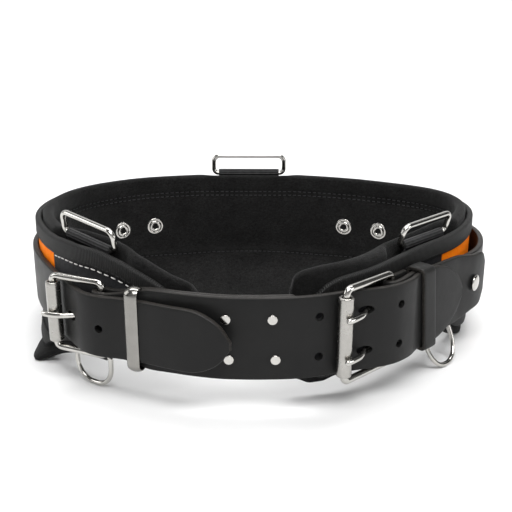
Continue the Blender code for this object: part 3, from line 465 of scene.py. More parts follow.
def swollen(bulge, share):
    """Offset of the liner's inner face at a share of its height, with a bulge's share and face."""
    rise = ease(clipped((share - SWELL_START) / SWELL_RISE))
    return LINER_INNER + min(bulge[1] - POCKET_WALL - LINER_INNER, 0.0) * bulge[0] * rise


def flare(arc, height, kneed=False):
    """Outward lean of the pad's lower edge at a height, kneed for the liner, less its lean at the back."""
    below = max(FLARE_HEIGHT - height, 0.0)
    share = FLARE_SHARE * below / (FLARE_HEIGHT - FLARE_KNEE)
    if kneed and height < FLARE_KNEE:
        share = FLARE_SHARE + (1 - FLARE_SHARE) * (FLARE_KNEE - height) / FLARE_KNEE
    return smooth(PAD_FLARE, 1, arc) * share - smooth(BACK_LEAN, 1, arc) * below / FLARE_HEIGHT


def to_space(arc, offset, height):
    """Point in space at an arc, an offset and a height."""
    return (*LINE.place(arc, offset), height)


def linked(name, data):
    """A new object in the scene."""
    made = bpy.data.objects.new(name, data)
    bpy.context.scene.collection.objects.link(made)
    return made


def add_piece(name, points, faces, paint, slot=None, body="belt", replaced=(), uvs=None, edge=None, sharp=42):
    """A shown piece from points in millimetres, with its body and the node that it replaces."""
    material, own_slot = PAINT[paint]
    slot = slot or own_slot
    mesh = bpy.data.meshes.new(name)
    mesh.from_pydata(((np.asarray(points, float) + SHIFT) * MM).tolist(), [], faces)
    if uvs is not None:
        layer = mesh.uv_layers.new(name="UVMap")
        layer.data.foreach_set("uv", np.asarray(uvs, np.float32).ravel())
    if edge is not None:
        layer = mesh.attributes.new("edge", "FLOAT", "POINT")
        layer.data.foreach_set("value", np.asarray(edge, np.float32).ravel())
    shape = bmesh.new()
    shape.from_mesh(mesh)
    bmesh.ops.recalc_face_normals(shape, faces=shape.faces)
    shape.to_mesh(mesh)
    shape.free()
    mesh.shade_smooth()
    mesh.set_sharp_from_angle(angle=math.radians(sharp))
    mesh.materials.append(material)
    made = linked(name, mesh)
    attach(made, body)
    if replaced:
        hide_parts(*replaced)
    return made


def grid_faces(rows, columns, closed):
    """Quads between rings of points, with capped ends unless the rings close on themselves."""
    faces = []
    for i in range(rows if closed else rows - 1):
        low = i * columns
        high = ((i + 1) % rows) * columns
        for j in range(columns):
            k = (j + 1) % columns
            faces.append((low + j, low + k, high + k, high + j))
    if not closed:
        faces.append(tuple(range(columns))[::-1])
        faces.append(tuple((rows - 1) * columns + j for j in range(columns)))
    return faces


def sweep(name, rings, paint, node, closed=False, along=None, **more):
    """A closed body over rings of points, with UVs in millimetres along and around it."""
    rings = np.asarray(rings, float)
    rows, columns = rings.shape[:2]
    if along is None:
        steps = np.linalg.norm(np.diff(rings.mean(1), axis=0), axis=1)
        along = np.concatenate([[0.0], np.cumsum(steps)])
    around_steps = np.linalg.norm(np.roll(rings, -1, 1) - rings, axis=2).mean(0)
    around = np.concatenate([[0.0], np.cumsum(around_steps)])
    reached = [*along, along[-1] + abs(along[1] - along[0])]
    uvs = []
    for i in range(rows if closed else rows - 1):
        u0, u1 = reached[i: i + 2]
        for j in range(columns):
            uvs.extend([(u0, around[j]), (u0, around[j + 1]), (u1, around[j + 1]), (u1, around[j])])
    if not closed:
        uvs.extend([(along[0], around[j]) for j in range(columns)][::-1])
        uvs.extend([(along[-1], around[j]) for j in range(columns)])
    faces = grid_faces(rows, columns, closed)
    return add_piece(name, rings.reshape(-1, 3), faces, paint, replaced=(node,), uvs=uvs, **more)


# Materials


def tint(tone, *shares):
    """A colour from shares of a tone, or a grey from one share."""
    return tuple(tone * share for share in (shares if len(shares) == 3 else shares * 3))


class Look:
    """A new material, with short ways to add textures to its shader."""

    def __init__(self, name, rough, specular=0.5, sheen=0.0, metal=0.0):
        self.made = bpy.data.materials.new(name)
        self.made.use_nodes = True
        self.shader = self.made.node_tree.nodes["Principled BSDF"]
        self.shader.inputs["Roughness"].default_value = rough
        self.shader.inputs["Specular IOR Level"].default_value = specular
        self.shader.inputs["Sheen Weight"].default_value = sheen
        self.shader.inputs["Metallic"].default_value = metal
        self.spot = self.add("ShaderNodeTexCoord").outputs["Object"]

    def add(self, kind, joined=(), **settings):
        """A node with its settings, and with rows of input and source joined to it."""
        node = self.made.node_tree.nodes.new(kind)
        for key, value in settings.items():
            if key in node.inputs:
                node.inputs[key].default_value = value
            else:
                setattr(node, key, value)
        for socket, source in joined:
            self.join(source, node, socket)
        return node

    def join(self, source, target, socket):
        """Joins a node's first output or an output to an input, or gives it a number or a colour."""
        if isinstance(source, (int, float, tuple)):
            target.inputs[socket].default_value = source
            return
        output = source if isinstance(source, bpy.types.NodeSocket) else source.outputs[0]
        self.made.node_tree.links.new(output, target.inputs[socket])

    def noise(self, scale, detail, rough=0.5, twist=0.0, place=None):
        """Noise over the object's own place or another one."""
        return self.add(
            "ShaderNodeTexNoise", [("Vector", self.spot if place is None else place)],
            Scale=scale, Detail=detail, Roughness=rough, Distortion=twist,
        )

    def math(self, operation, *sources):
        """A sum, product or wave of numbers and outputs."""
        return self.add("ShaderNodeMath", enumerate(sources), operation=operation)

    def ramp(self, source, low, high, start=0.3, end=0.7):
        """A colour ramp between two colours."""
        node = self.add("ShaderNodeValToRGB", [("Fac", source)])
        for element, place, colour in zip(node.color_ramp.elements, (start, end), (low, high)):
            element.position = place
            element.color = (*colour, 1.0)
        return node

    def mix(self, share, first, second, blend="MIX"):
        """Two colours mixed or multiplied by a share."""
        joined = [(0, share), (6, first), (7, second)]
        return self.add("ShaderNodeMix", joined, data_type="RGBA", blend_type=blend).outputs[2]

    def edge(self):
        """How much a point is a cut edge, black cloth or painted shade on the cover, or painted shade in the
        bottom of a seam.
        """
        return self.add("ShaderNodeAttribute", attribute_name="edge").outputs["Fac"]

    def gloss(self, source, low, high):
        """Roughness that wanders between two values."""
        values = {"To Min": low, "To Max": high}
        self.join(self.add("ShaderNodeMapRange", [("Value", source)], **values), self.shader, "Roughness")

    def waves(self, columns, rows):
        """Two crossing waves over the UVs: thread counts per millimetre along and around."""
        split = self.add("ShaderNodeSeparateXYZ", [("Vector", self.add("ShaderNodeUVMap", uv_map="UVMap"))])
        scaled = [
            self.math("MULTIPLY", split.outputs[axis], count * 2 * math.pi)
            for axis, count in (("X", columns), ("Y", rows))
        ]
        return [self.math("SINE", wave) for wave in scaled]

    def finish(self, colour, *bumps):
        """Joins the colour and a chain of bumps: rows of height source, strength, distance in metres."""
        self.join(colour, self.shader, "Base Color")
        target = self.shader
        for source, strength, distance in reversed(bumps):
            bump = self.add("ShaderNodeBump", [("Height", source)], Strength=strength, Distance=distance)
            self.join(bump, target, "Normal")
            target = bump
        return self.made


def leather(name, tone=0.0078, rough=0.44):
    """Smooth black leather: fine grain, faint clouding, and paler cut edges."""
    look = Look(name, rough, 0.17)
    whole = look.ramp(look.noise(38.0, 4.0, 0.55), tint(tone, 0.86), tint(tone, 1.16, 1.15, 1.12))
    cut_edge = look.ramp(look.noise(900.0, 3.0), tint(tone, 1.3, 1.2, 1.1), tint(tone, 3.4, 3.1, 2.8))
    grain = look.add("ShaderNodeTexVoronoi", [("Vector", look.spot)], Scale=1150.0, feature="SMOOTH_F1")
    pores = look.noise(2100.0, 3.0, 0.6)
    swell = look.noise(70.0, 2.0)
    look.gloss(swell, rough - 0.05, rough + 0.09)
    colour = look.mix(look.edge(), whole, cut_edge)
    return look.finish(colour, (swell, 0.22, 0.0012), (grain, 0.16, 0.00012), (pores, 0.12, 0.00008))


def felt(name, tone=0.0036):
    """Black needled felt: fibres that lie along the belt, a few of them paler, and painted shade in the
    bottom of its seams.
    """
    look = Look(name, 0.97, 0.12, 0.06)
    coords = look.add("ShaderNodeUVMap", uv_map="UVMap")
    lying = look.add("ShaderNodeMapping", [("Vector", coords)], Scale=(0.42, 1.05, 1.0))
    fibres = look.noise(1.0, 6.0, 0.75, 0.9, lying)
    tangle = look.noise(620.0, 7.0, 0.72, 1.2)
    fluff = look.math("MULTIPLY", look.math("ADD", fibres, tangle), 0.5)
    cloud = look.noise(55.0, 5.0, 0.6)
    pile = look.noise(1500.0, 4.0, 0.7)
    dark = look.ramp(fluff, tint(tone, 0.15), tint(tone, 4.2, 4.2, 4.1), 0.40, 0.66)
    shade = look.ramp(cloud, tint(0.68, 1.0), tint(1.3, 1.0), 0.32, 0.70)
    # Colour of the painted shade in the bottom of the seams
    seam = (*tint(tone, 0.15), 1.0)
    colour = look.mix(look.edge(), look.mix(1.0, dark, shade, "MULTIPLY"), seam)
    return look.finish(colour, (cloud, 0.35, 0.0016), (fluff, 0.8, 0.0008), (pile, 0.4, 0.00025))


def woven(name, low, high, count, rough, sheen):
    """Woven cloth: warp and weft cross, with uneven threads, and black where the cloth is black and where
    shade is painted on it.
    """
    look = Look(name, rough, 0.14, sheen)
    weave = look.math("MULTIPLY", *look.waves(count, count))
    yarn = look.noise(420.0, 4.0, 0.65)
    wrinkle = look.noise(60.0, 3.0)
    mixed = look.math("MULTIPLY_ADD", weave, 0.28, yarn)
    bright = look.ramp(mixed, low, high, 0.22, 0.8)
    black = look.ramp(mixed, (0.006, 0.006, 0.007), (0.026, 0.026, 0.029), 0.22, 0.8)
    # Black where the edge mark gives black cloth and painted shade
    colour = look.mix(look.edge(), bright, black)
    return look.finish(colour, (wrinkle, 0.25, 0.0015), (weave, 0.4, 0.0003), (yarn, 0.25, 0.0002))


def ribbed(name, low, high, ribs, threads, ribs_along, rough):
    """Ribbed tape or webbing: ribs with fine threads across them."""
    look = Look(name, rough, 0.26)
    if ribs_along:
        rib, fine = look.waves(ribs, threads)
    else:
        fine, rib = look.waves(threads, ribs)
    wear = look.noise(300.0, 4.0, 0.6)
    colour = look.ramp(look.math("MULTIPLY_ADD", rib, 0.2, wear), low, high, 0.25, 0.8)
    return look.finish(colour, (rib, 0.6, 0.0003), (fine, 0.3, 0.00012), (wear, 0.3, 0.0003))


def steel(name, rough, base, marks=0.05):
    """Polished nickel-plated steel with faint handling marks."""
    look = Look(name, rough, metal=1.0)
    cloud = look.noise(160.0, 5.0, 0.65)
    scratch = look.noise(1400.0, 3.0, 0.6, 0.4)
    look.gloss(cloud, rough - marks, rough + marks * 1.6)
    colour = look.ramp(cloud, tuple(c * 0.9 for c in base), tuple(c * 1.06 for c in base))
    return look.finish(colour, (cloud, 0.05, 0.0006), (scratch, 0.06, 0.00008))


def thread(name, tone):
    """Twisted sewing thread."""
    look = Look(name, 0.7)
    twist = look.add(
        "ShaderNodeTexWave", [("Vector", look.spot)], Scale=900.0, Distortion=2.0, bands_direction="DIAGONAL",
    )
    colour = look.ramp(twist, tuple(c * 0.75 for c in tone), tone, 0.2, 0.8)
    return look.finish(colour, (twist, 0.4, 0.0001))


# Materials, each with the name of a slot
PAINT = {
    "leather": (leather("black_leather"), "strap_leather"),
    "keeper_leather": (leather("keeper_leather", 0.0105, 0.46), "strap_leather"),
    "felt": (felt("black_felt"), "felt_liner"),
    "orange": (woven("orange_weave", (1.0, 0.13, 0.0), (1.0, 0.31, 0.003), 0.9, 0.75, 0.0), "orange_cloth"),
    "black": (
        woven("black_weave", (0.006, 0.006, 0.007), (0.028, 0.028, 0.031), 1.1, 0.7, 0.05), "black_cloth",
    ),
    "binding": (
        ribbed("binding_tape", (0.003, 0.003, 0.003), (0.0095, 0.0095, 0.009), 0.8, 1.6, True, 0.6),
        "binding_tape",
    ),
    "webbing": (
        ribbed("ribbed_webbing", (0.005, 0.005, 0.005), (0.024, 0.024, 0.025), 0.55, 1.4, False, 0.55),
        "ribbed_webbing",
    ),
    "steel": (steel("polished_steel", 0.12, (0.50, 0.488, 0.462)), "polished_steel"),
    "satin": (steel("satin_steel", 0.24, (0.37, 0.36, 0.34), 0.06), "polished_steel"),
    "loop": (steel("loop_steel", 0.19, (0.25, 0.243, 0.228), 0.06), "polished_steel"),
    "white_thread": (thread("white_thread", (0.78, 0.77, 0.74)), "black_cloth"),
    "black_thread": (thread("black_thread", (0.012, 0.012, 0.013)), "binding_tape"),
}


# Pad


def rounded_end(outer_at, inner_at, level, radius, start):
    """Half turn over an end of an upright wall, from one face to the other but without them."""
    outer = outer_at(level)
    inner = inner_at(level)
    return bow((outer + inner) / 2, level, (outer - inner) / 2, radius, start, start + 180, 8)[1:-1]


def rounded_section(outer_at, inner_at, radius_top, radius_bottom, low, high, shares):
    """Closed section through an upright padded wall, rounded at both ends.

    outer_at and inner_at give a face's offset at a height, and shares are the rows between the ends.
    """
    base = low + radius_bottom
    top = high - radius_top
    heights = base + (top - base) * np.asarray(shares)
    ring = [(outer_at(height), height) for height in heights]
    ring += rounded_end(outer_at, inner_at, top, radius_top, 0)
    ring += [(inner_at(height), height) for height in heights[::-1]]
    return ring + rounded_end(outer_at, inner_at, base, radius_bottom, 180)


def quilt_dip(height):
    """How far the quilting seams pull the liner's face in at a height."""
    dip = 0.0
    for seam in QUILT_SEAMS:
        dip += sum(depth * math.exp(-((height - seam) / half) ** 2) for depth, half in QUILT_CHANNEL)
    return min(dip, DEEPEST_DIP)


def seam_shade(height):
    """How much painted shade darkens the felt at a height, in the bottom of the quilting seams."""
    dark, half = SEAM_SHADE
    return max(dark * math.exp(-((height - seam) / half) ** 2) for seam in QUILT_SEAMS)


def quilt_rows(low, high, count=30):
    """Shares of the way from low to high for the rows of a face, closer together beside the seams."""
    rows = [k / count for k in range(count + 1)]
    beside = [(seam + step - low) / (high - low) for seam in QUILT_SEAMS for step in QUILT_ROWS]
    rows = sorted(rows + [share for share in beside if 0.01 < share < 0.99])
    while len(rows) < count + 1 + len(beside):
        wide = int(np.argmax(np.diff(rows)))
        rows.insert(wide + 1, (rows[wide] + rows[wide + 1]) / 2)
    return rows


def build_liner():
    """Felt pad against the wearer: thick rounded rim, quilting channels and uneven faces."""
    rings = []
    edges = []
    tips = np.array([0.0, 0.15, 0.5, 1.0, 1.7])
    middle_arcs = steps_between(LINER_START + LINER_PINCH, LINER_END - LINER_PINCH, CLOTH_STEP)
    arcs = np.concatenate([LINER_START + tips, middle_arcs, LINER_END - tips[::-1]])
    for arc in arcs:
        top = smooth(PAD_HEIGHTS, 3, arc)
        bottom = smooth(PAD_HEIGHTS, 4, arc)
        hollow, face = behind_ring(arc, POCKET_RAMP, math.inf)
        bulge = behind_ring(arc, BULGE_RAMP, BULGE_REACH)
        knee_low, knee_high = [bottom + (top - bottom) * level for level in POCKET_LEVELS]
        near = clipped(1 - min(arc - LINER_START, LINER_END - arc) / LINER_PINCH)
        pinch = 0.25 + 0.75 * math.sqrt(1 - near**2)

        def outer_at(height):
            rise = clipped((height - knee_low) / (knee_high - knee_low)) * hollow
            return LINER_OUTER + (min(face, LINER_OUTER) - LINER_OUTER) * rise + flare(arc, height, True)

        def inner_at(height):
            lean = flare(arc, height, True)
            full = swollen(bulge, (height - bottom) / (top - bottom))
            full = min(full, outer_at(height) - lean - POCKET_WALL)
            uneven = sum(depth * ripple(arc, height, seed, length) for depth, seed, length in LINER_BUMPS)
            return full + lean + quilt_dip(height) - LINER_PUFF + uneven

        rows = quilt_rows(bottom + LINER_RIMS[1], top - LINER_RIMS[0])
        section = rounded_section(outer_at, inner_at, *LINER_RIMS, bottom, top, rows)
        core = np.mean([offset for offset, _ in section])
        rings.append([to_space(arc, core + (offset - core) * pinch, height) for offset, height in section])
        # Painted shade in the bottom of the quilting seams, on the liner's inner face only
        edges.append([seam_shade(height) if offset < core else 0.0 for offset, height in section])
    liner = sweep("liner_felt", rings, "felt", "liner", along=arcs, edge=edges, sharp=80)


def build_cover(name, node, paint, start, end):
    """One panel of the pad's outer cover, slightly puckered under its bindings."""
    rings = []
    edges = []
    arcs = steps_between(start, end, CLOTH_STEP)
    for arc in arcs:
        bottom = smooth(PAD_HEIGHTS, 2, arc) + BINDING + GAP
        top = smooth(PAD_HEIGHTS, 1, arc) - BINDING - GAP

        def outer_at(height):
            depth, seed, length, band, fading = PUCKER
            fade = math.exp(-max(min(height - bottom, top - height) - band, 0) / fading)
            return flare(arc, height) + depth * ripple(arc * 2.2, height * 0.5, seed, length) * fade - 0.1

        def inner_at(height):
            return flare(arc, height) - SHELL

        split = (BLACK_EDGE - bottom) / (top - bottom)
        beside = [min(max(split + step, 0.01), 0.99) for step in (-0.004, 0.004)]
        rows = sorted([*np.linspace(0, 1, 24), *beside])
        section = rounded_section(outer_at, inner_at, COVER_RIM, COVER_RIM, bottom, top, rows)
        rings.append([to_space(arc, offset, height) for offset, height in section])
        # Black along the lower edge, and at the front end partly black cloth and partly painted shade behind
        # the front strap
        edges.append([1.0 if arc < BLACK_AND_SHADE_END or height < BLACK_EDGE else 0.0 for _, height in section])
    sweep(name, rings, paint, node, along=arcs, edge=edges, sharp=60)


def build_binding(name, node, column, band, side):
    """A tape folded over the cover's upper edge (side 1) or lower edge (side -1)."""
    outer = GAP + BINDING
    inner = -SHELL - outer
    rings = []
    arcs = steps_between(COVER_START, COVER_END, CLOTH_STEP)
    for arc in arcs:
        edge = smooth(PAD_HEIGHTS, column, arc)
        wavy = band + TAPE_WAVE * ripple(arc, 0.0, 31 + column, TAPE_WAVE_LENGTH)
        outline = [(outer, inward) for inward in np.linspace(wavy, TAPE_BEND, 7)]
        outline[0] = (outer - 0.3, wavy)
        outline.insert(1, (outer - 0.05, wavy - 0.3))
        outline[4] = (outer + 0.08, outline[4][1])
        outline += bow((outer + inner) / 2, TAPE_BEND, (outer - inner) / 2, -TAPE_BEND, 0, 180, 8)[1:-1]
        outline += [(inner, inward) for inward in np.linspace(TAPE_BEND, band, 5)]
        outline += [
            (-SHELL - GAP, band), (-SHELL - GAP, BINDING + 0.4), (-SHELL - GAP + 0.4, BINDING),
            (GAP - 0.4, BINDING), (GAP, BINDING + 0.4), (GAP, wavy),
        ]
        points = [(offset, edge - side * inward) for offset, inward in outline]
        rings.append([to_space(arc, offset + flare(arc, height), height) for offset, height in points])
    sweep(name, rings, "binding", node, along=arcs, sharp=50)


def sew(name, start, end, stitches, paint, place_at, inward=False, slot=None):
    """A seam of short stitches with sunk ends: place_at gives its offset and height at an arc."""
    pitch, length, radius = stitches
    rows = []
    faces = []
    pattern = grid_faces(len(STITCH), STITCH_SIDES, False)
    for index in range(int((end - start) / pitch)):
        arc = start + (index + 0.5) * pitch
        middle, ahead = [np.array(to_space(place, *place_at(place))) for place in (arc, arc + 0.5)]
        along = (ahead - middle) / np.linalg.norm(ahead - middle)
        outward = np.array([*LINE.normal(arc), 0.0]) * (-1 if inward else 1)
        side = np.cross(along, outward)
        faces += [tuple(len(rows) + corner for corner in face) for face in pattern]
        for share, width, lift in STITCH:
            centre = middle + along * share * length + outward * lift * radius
            for across, up in bow(0, 0, 1, 0.8, 0, 360, STITCH_SIDES)[:-1]:
                rows.append(centre + (side * across + outward * up) * radius * width)
    add_piece(name, rows, faces, paint, slot, sharp=80)


def build_pad_seams():
    """White stitches under the top binding, dark ones along the tapes and the liner's quilting seams."""

    def under_tape(arc):
        return 0.05, smooth(PAD_HEIGHTS, 1, arc) - BINDING_TOP - SEAM_INSET

    end = COVER_END - SEAM_END
    sew("white_stitches", PANEL_SEAM + SEAM_END, end, WHITE_STITCHES, "white_thread", under_tape)
    insets = (("top", 1, SEAM_INSET - BINDING_TOP), ("bottom", 2, BINDING_BOTTOM - LOWER_SEAM_INSET))
    for name, column, inset in insets:

        def on_tape(arc):
            height = smooth(PAD_HEIGHTS, column, arc) + inset
            return GAP + BINDING + flare(arc, height), height

        name += "_binding_stitches"
        sew(name, COVER_START + SEAM_END, end, TAPE_STITCHES, "black_thread", on_tape)
    for index, height in enumerate(QUILT_SEAMS, 1):

        def in_channel(arc):
            top = smooth(PAD_HEIGHTS, 3, arc)
            bottom = smooth(PAD_HEIGHTS, 4, arc)
            bulge = behind_ring(arc, BULGE_RAMP, BULGE_REACH)
            full = swollen(bulge, (height - bottom) / (top - bottom))
            return full + flare(arc, height, True) + quilt_dip(height) - QUILT_STITCH_RISE, height

        name = "quilt_stitches_%d" % index
        sew(name, *QUILT_SPAN, QUILT_STITCHES, "black_thread", in_channel, True, "felt_liner")


# Straps


def cut_edge(first, second, up, start, radius):
    """Rows of a strap's rounded cut edge, between two offsets, and how much each row is cut leather."""
    shares = (0.0, 0.25, 0.5, 0.75, 1.0)
    one = bow(first, up, radius, radius, start, start + 90, 4)
    other = bow(second, up, radius, radius, start + 90, start + 180, 4)
    rising = [(*point, share) for point, share in zip(one, shares)]
    return rising[1:] + [(*point, 1 - share) for point, share in zip(other, shares)][:-1]


def strap_outline(thickness, half, radius=0.95, crown=0.12):
    """Section of a leather strap with rounded edges: rows of across, up and how much it is a cut edge."""
    radius = min(radius, thickness * 0.42)
    face = half - radius
    outer = thickness / 2 - radius - crown
    inner = radius - thickness / 2
    rows = [
        (thickness / 2 - crown * (up / max(half, 0.1)) ** 2, up, 0.0) for up in np.linspace(-face, face, 17)
    ]
    rows += cut_edge(outer, inner, face, 0, radius)
    rows += [(-thickness / 2, up, 0.0) for up in np.linspace(face, -face, 9)]
    return rows + cut_edge(inner, outer, -face, 180, radius)


def smoothed(points, passes):
    """Rows of points with their small kinks smoothed away and their ends kept."""
    points = np.array(points, float)
    for _ in range(passes):
        points[1:-1] = (points[:-2] + 2 * points[1:-1] + points[2:]) / 4
    return points


def even_route(route, step):
    """A plan route resampled at even steps."""
    reached = np.concatenate([[0.0], np.cumsum(np.hypot(*np.diff(route[:, :2], axis=0).T))])
    marks = np.linspace(0, reached[-1], int(reached[-1] / step) + 1)
    return np.stack([np.interp(marks, reached, route[:, j]) for j in range(3)], 1)


def run(table, thickness):
    """Plan rows of a strap's middle from a table of its outer face: x, y and half width."""
    arcs = steps_between(table[0][0], table[-1][0], 1.0)
    return [(*LINE.place(arc, smooth(table, 1, arc) - thickness / 2), smooth(table, 2, arc)) for arc in arcs]


def strap(name, node, route, thickness, step):
    """A leather strap along a plan route, with rounded ends."""
    route = even_route(smoothed(route, 4), step)
    points = route[:, :2]
    tangents = np.gradient(points, axis=0)
    tangents /= np.hypot(*tangents.T)[:, None]
    rows = [(p, t, h, 1.0, 0.0) for p, t, h in zip(points, tangents, route[:, 2])]
    for shrink, reach in STRAP_ENDS:
        for index, side in ((-1, 1), (0, -1)):
            tangent = tangents[index]
            point = points[index] + side * tangent * reach
            row = (point, tangent, route[index, 2] - reach * 0.5, 1 - shrink, 1.0)
            rows.insert(len(rows) if side > 0 else 0, row)
    rings = []
    edges = []
    for point, tangent, half, thick, cut_end in rows:
        normal = np.array([tangent[1], -tangent[0]])
        outline = strap_outline(thickness, half)
        rings.append([(*(point + normal * across * thick), MID + up) for across, up, _ in outline])
        edges.append([max(cut, cut_end) for _, _, cut in outline])
    return sweep(name, rings, "leather", node, edge=edges)


def folded_strap(name, node, outer_table, inner_table, thickness, heel):
    """A strap that runs along the belt, turns around a heel bar and comes back inside."""
    centre = LINE.place(*heel)
    normal = LINE.normal(heel[0])
    half = smooth(outer_table, 2, heel[0])
    radius = WIRE + GAP + FOLD_ROOM + thickness / 2
    start = math.degrees(math.atan2(normal[1], normal[0]))
    fold = [(*point, half) for point in bow(*centre, radius, radius, start, start - 180, 24)]
    route = run(outer_table, thickness) + fold + run(inner_table, thickness)
    return strap(name, node, route, thickness, FOLDED_STEP)


def hole(table, arc, height, radius, below, above=2.0, along=0.0):
    """A hole to cut, from below a strap's outer face to above it, as a row for the cutter."""
    face = smooth(table, 1, arc)
    return arc, height, radius, face - below, face + above, max(along, 2 * radius)


def cutter(holes):
    """A cutter of cylinders: rows of arc, height, radius, inner and outer offset, length along."""
    shape = bmesh.new()
    for arc, height, radius, inner, outer, along in holes:
        outward = Vector((*LINE.normal(arc), 0.0))
        turn = outward.to_track_quat("Z", "Y").to_matrix().to_4x4()
        longer = along / (2 * radius)
        local_up = turn.inverted().to_3x3() @ Vector((0, 0, 1))
        sizes = (longer, 1.0) if abs(local_up.y) > abs(local_up.x) else (1.0, longer)
        middle = (Vector(to_space(arc, (inner + outer) / 2, height)) + Vector(SHIFT)) * MM
        place = Matrix.Translation(middle) @ turn @ Matrix.Diagonal((*sizes, 1.0, 1.0))
        bmesh.ops.create_cone(
            shape, cap_ends=True, segments=32, radius1=radius * MM, radius2=radius * MM,
            depth=(outer - inner) * MM, matrix=place,
        )
    return shape


def slot_cutter(heel, heights):
    """A cutter of slots through a strap's fold, where prongs turn on the heel bar."""
    normal = LINE.normal(heel[0])
    along = np.array([-normal[1], normal[0]])
    middle = LINE.place(*heel) + along * (SLOT_AHEAD - SLOT_BEHIND) / 2
    turn = Matrix.Rotation(math.atan2(along[1], along[0]), 4, "Z")
    size = Vector((SLOT_AHEAD + SLOT_BEHIND, 2 * SLOT_DEPTH, PRONG_SLOT)) * MM
    shape = bmesh.new()
    for height in heights:
        place = Matrix.Translation((Vector((*middle, height)) + Vector(SHIFT)) * MM)
        bmesh.ops.create_cube(shape, size=1.0, matrix=place @ turn @ Matrix.Diagonal((*size, 1.0)))
    return shape


def cut(target, *shapes):
    """Cuts shapes from an object."""
    tools = []
    for shape in shapes:
        mesh = bpy.data.meshes.new("cutter")
        shape.to_mesh(mesh)
        shape.free()
        tools.append(linked("cutter", mesh))
        modifier = target.modifiers.new("Cut", "BOOLEAN")
        modifier.operation = "DIFFERENCE"
        modifier.object = tools[-1]
    graph = bpy.context.evaluated_depsgraph_get()
    finished = bpy.data.meshes.new_from_object(target.evaluated_get(graph))
    target.modifiers.clear()
    target.data = finished
    finished.set_sharp_from_angle(angle=math.radians(42))
    for tool in tools:
        bpy.data.objects.remove(tool, do_unlink=True)


def build_back_strap():
    """The narrow strap around the back, through the left buckle, to its pointed tip."""
    made = strap("back_strap_leather", "back_strap", run(BACK_STRAP, STRAP), STRAP, LEATHER_STEP)
    lap = LINE.length
    holes = [hole(BACK_STRAP, arc, MID, EYELET_HOLE, *EYELET_REACH) for arc in BACK_RIVETS]
    holes += [hole(BACK_STRAP, arc + lap, height, HOLE, STRAP + HOLE_THROUGH) for arc, height in BACK_HOLES]
    holes.append(hole(BACK_STRAP, LEFT_PRONG_HOLE + lap, MID, PRONG_HOLE_HALF, *PRONG_REACH, PRONG_HOLE))
    holes.append(hole(CHAPE_RUN, *CHAPE_RIVET, CHAPE_RIVET_HOLE, CHAPE_RIVET_REACH[0]))
    cut(made, cutter(holes))


def build_front_strap():
    """The wide strap, from its rounded tip to the left buckle, folded around its heel bar and riveted."""
    heel = LEFT_BUCKLE[:2]
    made = folded_strap("front_strap_leather", "front_strap", FRONT_RUN, FOLD_RUN, FRONT_STRAP, heel)
    holes = []
    for arc, height in FRONT_RIVETS:
        layers = smooth(FRONT_RUN, 1, arc) - smooth(FOLD_RUN, 1, arc) + FRONT_STRAP
        holes.append(hole(FRONT_RUN, arc, height, FRONT_RIVET_HOLE, layers + RIVET_THROUGH))
    holes += [hole(FRONT_RUN, *place, HOLE, FRONT_STRAP + HOLE_THROUGH) for place in FRONT_HOLES]
    for height in PRONG_HEIGHTS:
        slot = (PRONG_HOLE_HALF, *PRONG_REACH, PRONG_HOLE)
        holes.append(hole(FRONT_RUN, RIGHT_PRONG_HOLE, height, *slot))
    cut(made, cutter(holes), slot_cutter(heel, [MID]))


def build_chape():
    """The short strap folded around the right buckle's heel bar and riveted to the back strap."""
    heel = RIGHT_BUCKLE[:2]
    made = folded_strap("chape_leather", "right_chape", CHAPE_RUN, CHAPE_FOLD_RUN, CHAPE, heel)
    holes = [hole(CHAPE_RUN, *CHAPE_RIVET, CHAPE_RIVET_HOLE, CHAPE_RIVET_REACH[1])]
    cut(made, cutter(holes), slot_cutter(heel, PRONG_HEIGHTS))


# Steel


def plane_at(origin, along, up):
    """Placement whose u runs along, v runs up and w is their normal: origin and three directions."""
    u = Vector(along).normalized()
    v = (Vector(up) - u * Vector(up).dot(u)).normalized()
    return [np.array(part) for part in (origin, u, v, u.cross(v))]


def rounded_box(left, right, low, high, radii):
    """Closed path around a box, with a radius at each corner, counterclockwise from the lower left."""
    corners = [(left, low, 1, 1), (right, low, -1, 1), (right, high, -1, -1), (left, high, 1, -1)]
    path = []
    for index, ((x, y, dx, dy), radius) in enumerate(zip(corners, radii)):
        start = 180 + 90 * index
        path += bow(x + radius * dx, y + radius * dy, radius, radius, start, start + 90, 8)
    return path


def catmull(points, steps):
    """Smooth open curve through points of a plane."""
    knots = np.array(points, float)
    padded = np.vstack([2 * knots[0] - knots[1], knots, 2 * knots[-1] - knots[-2]])
    path = []
    for k in range(1, len(padded) - 2):
        a, b, c, d = padded[k - 1: k + 3]
        for t in np.arange(steps) / steps:
            bend = (2 * a - 5 * b + 4 * c - d) * t**2 + (3 * b - a - 3 * c + d) * t**3
            path.append(tuple(0.5 * (2 * b + (c - a) * t + bend)))
    return path + [tuple(knots[-1])]


def dense(path, spacing=0.8):
    """A closed path with extra points on its long straights."""
    made = []
    for a, b in zip(path, path[1:] + path[:1]):
        count = max(int(math.dist(a, b) / spacing), 1)
        made.extend(np.array(a) + (np.array(b) - a) * k / count for k in range(count))
    return made


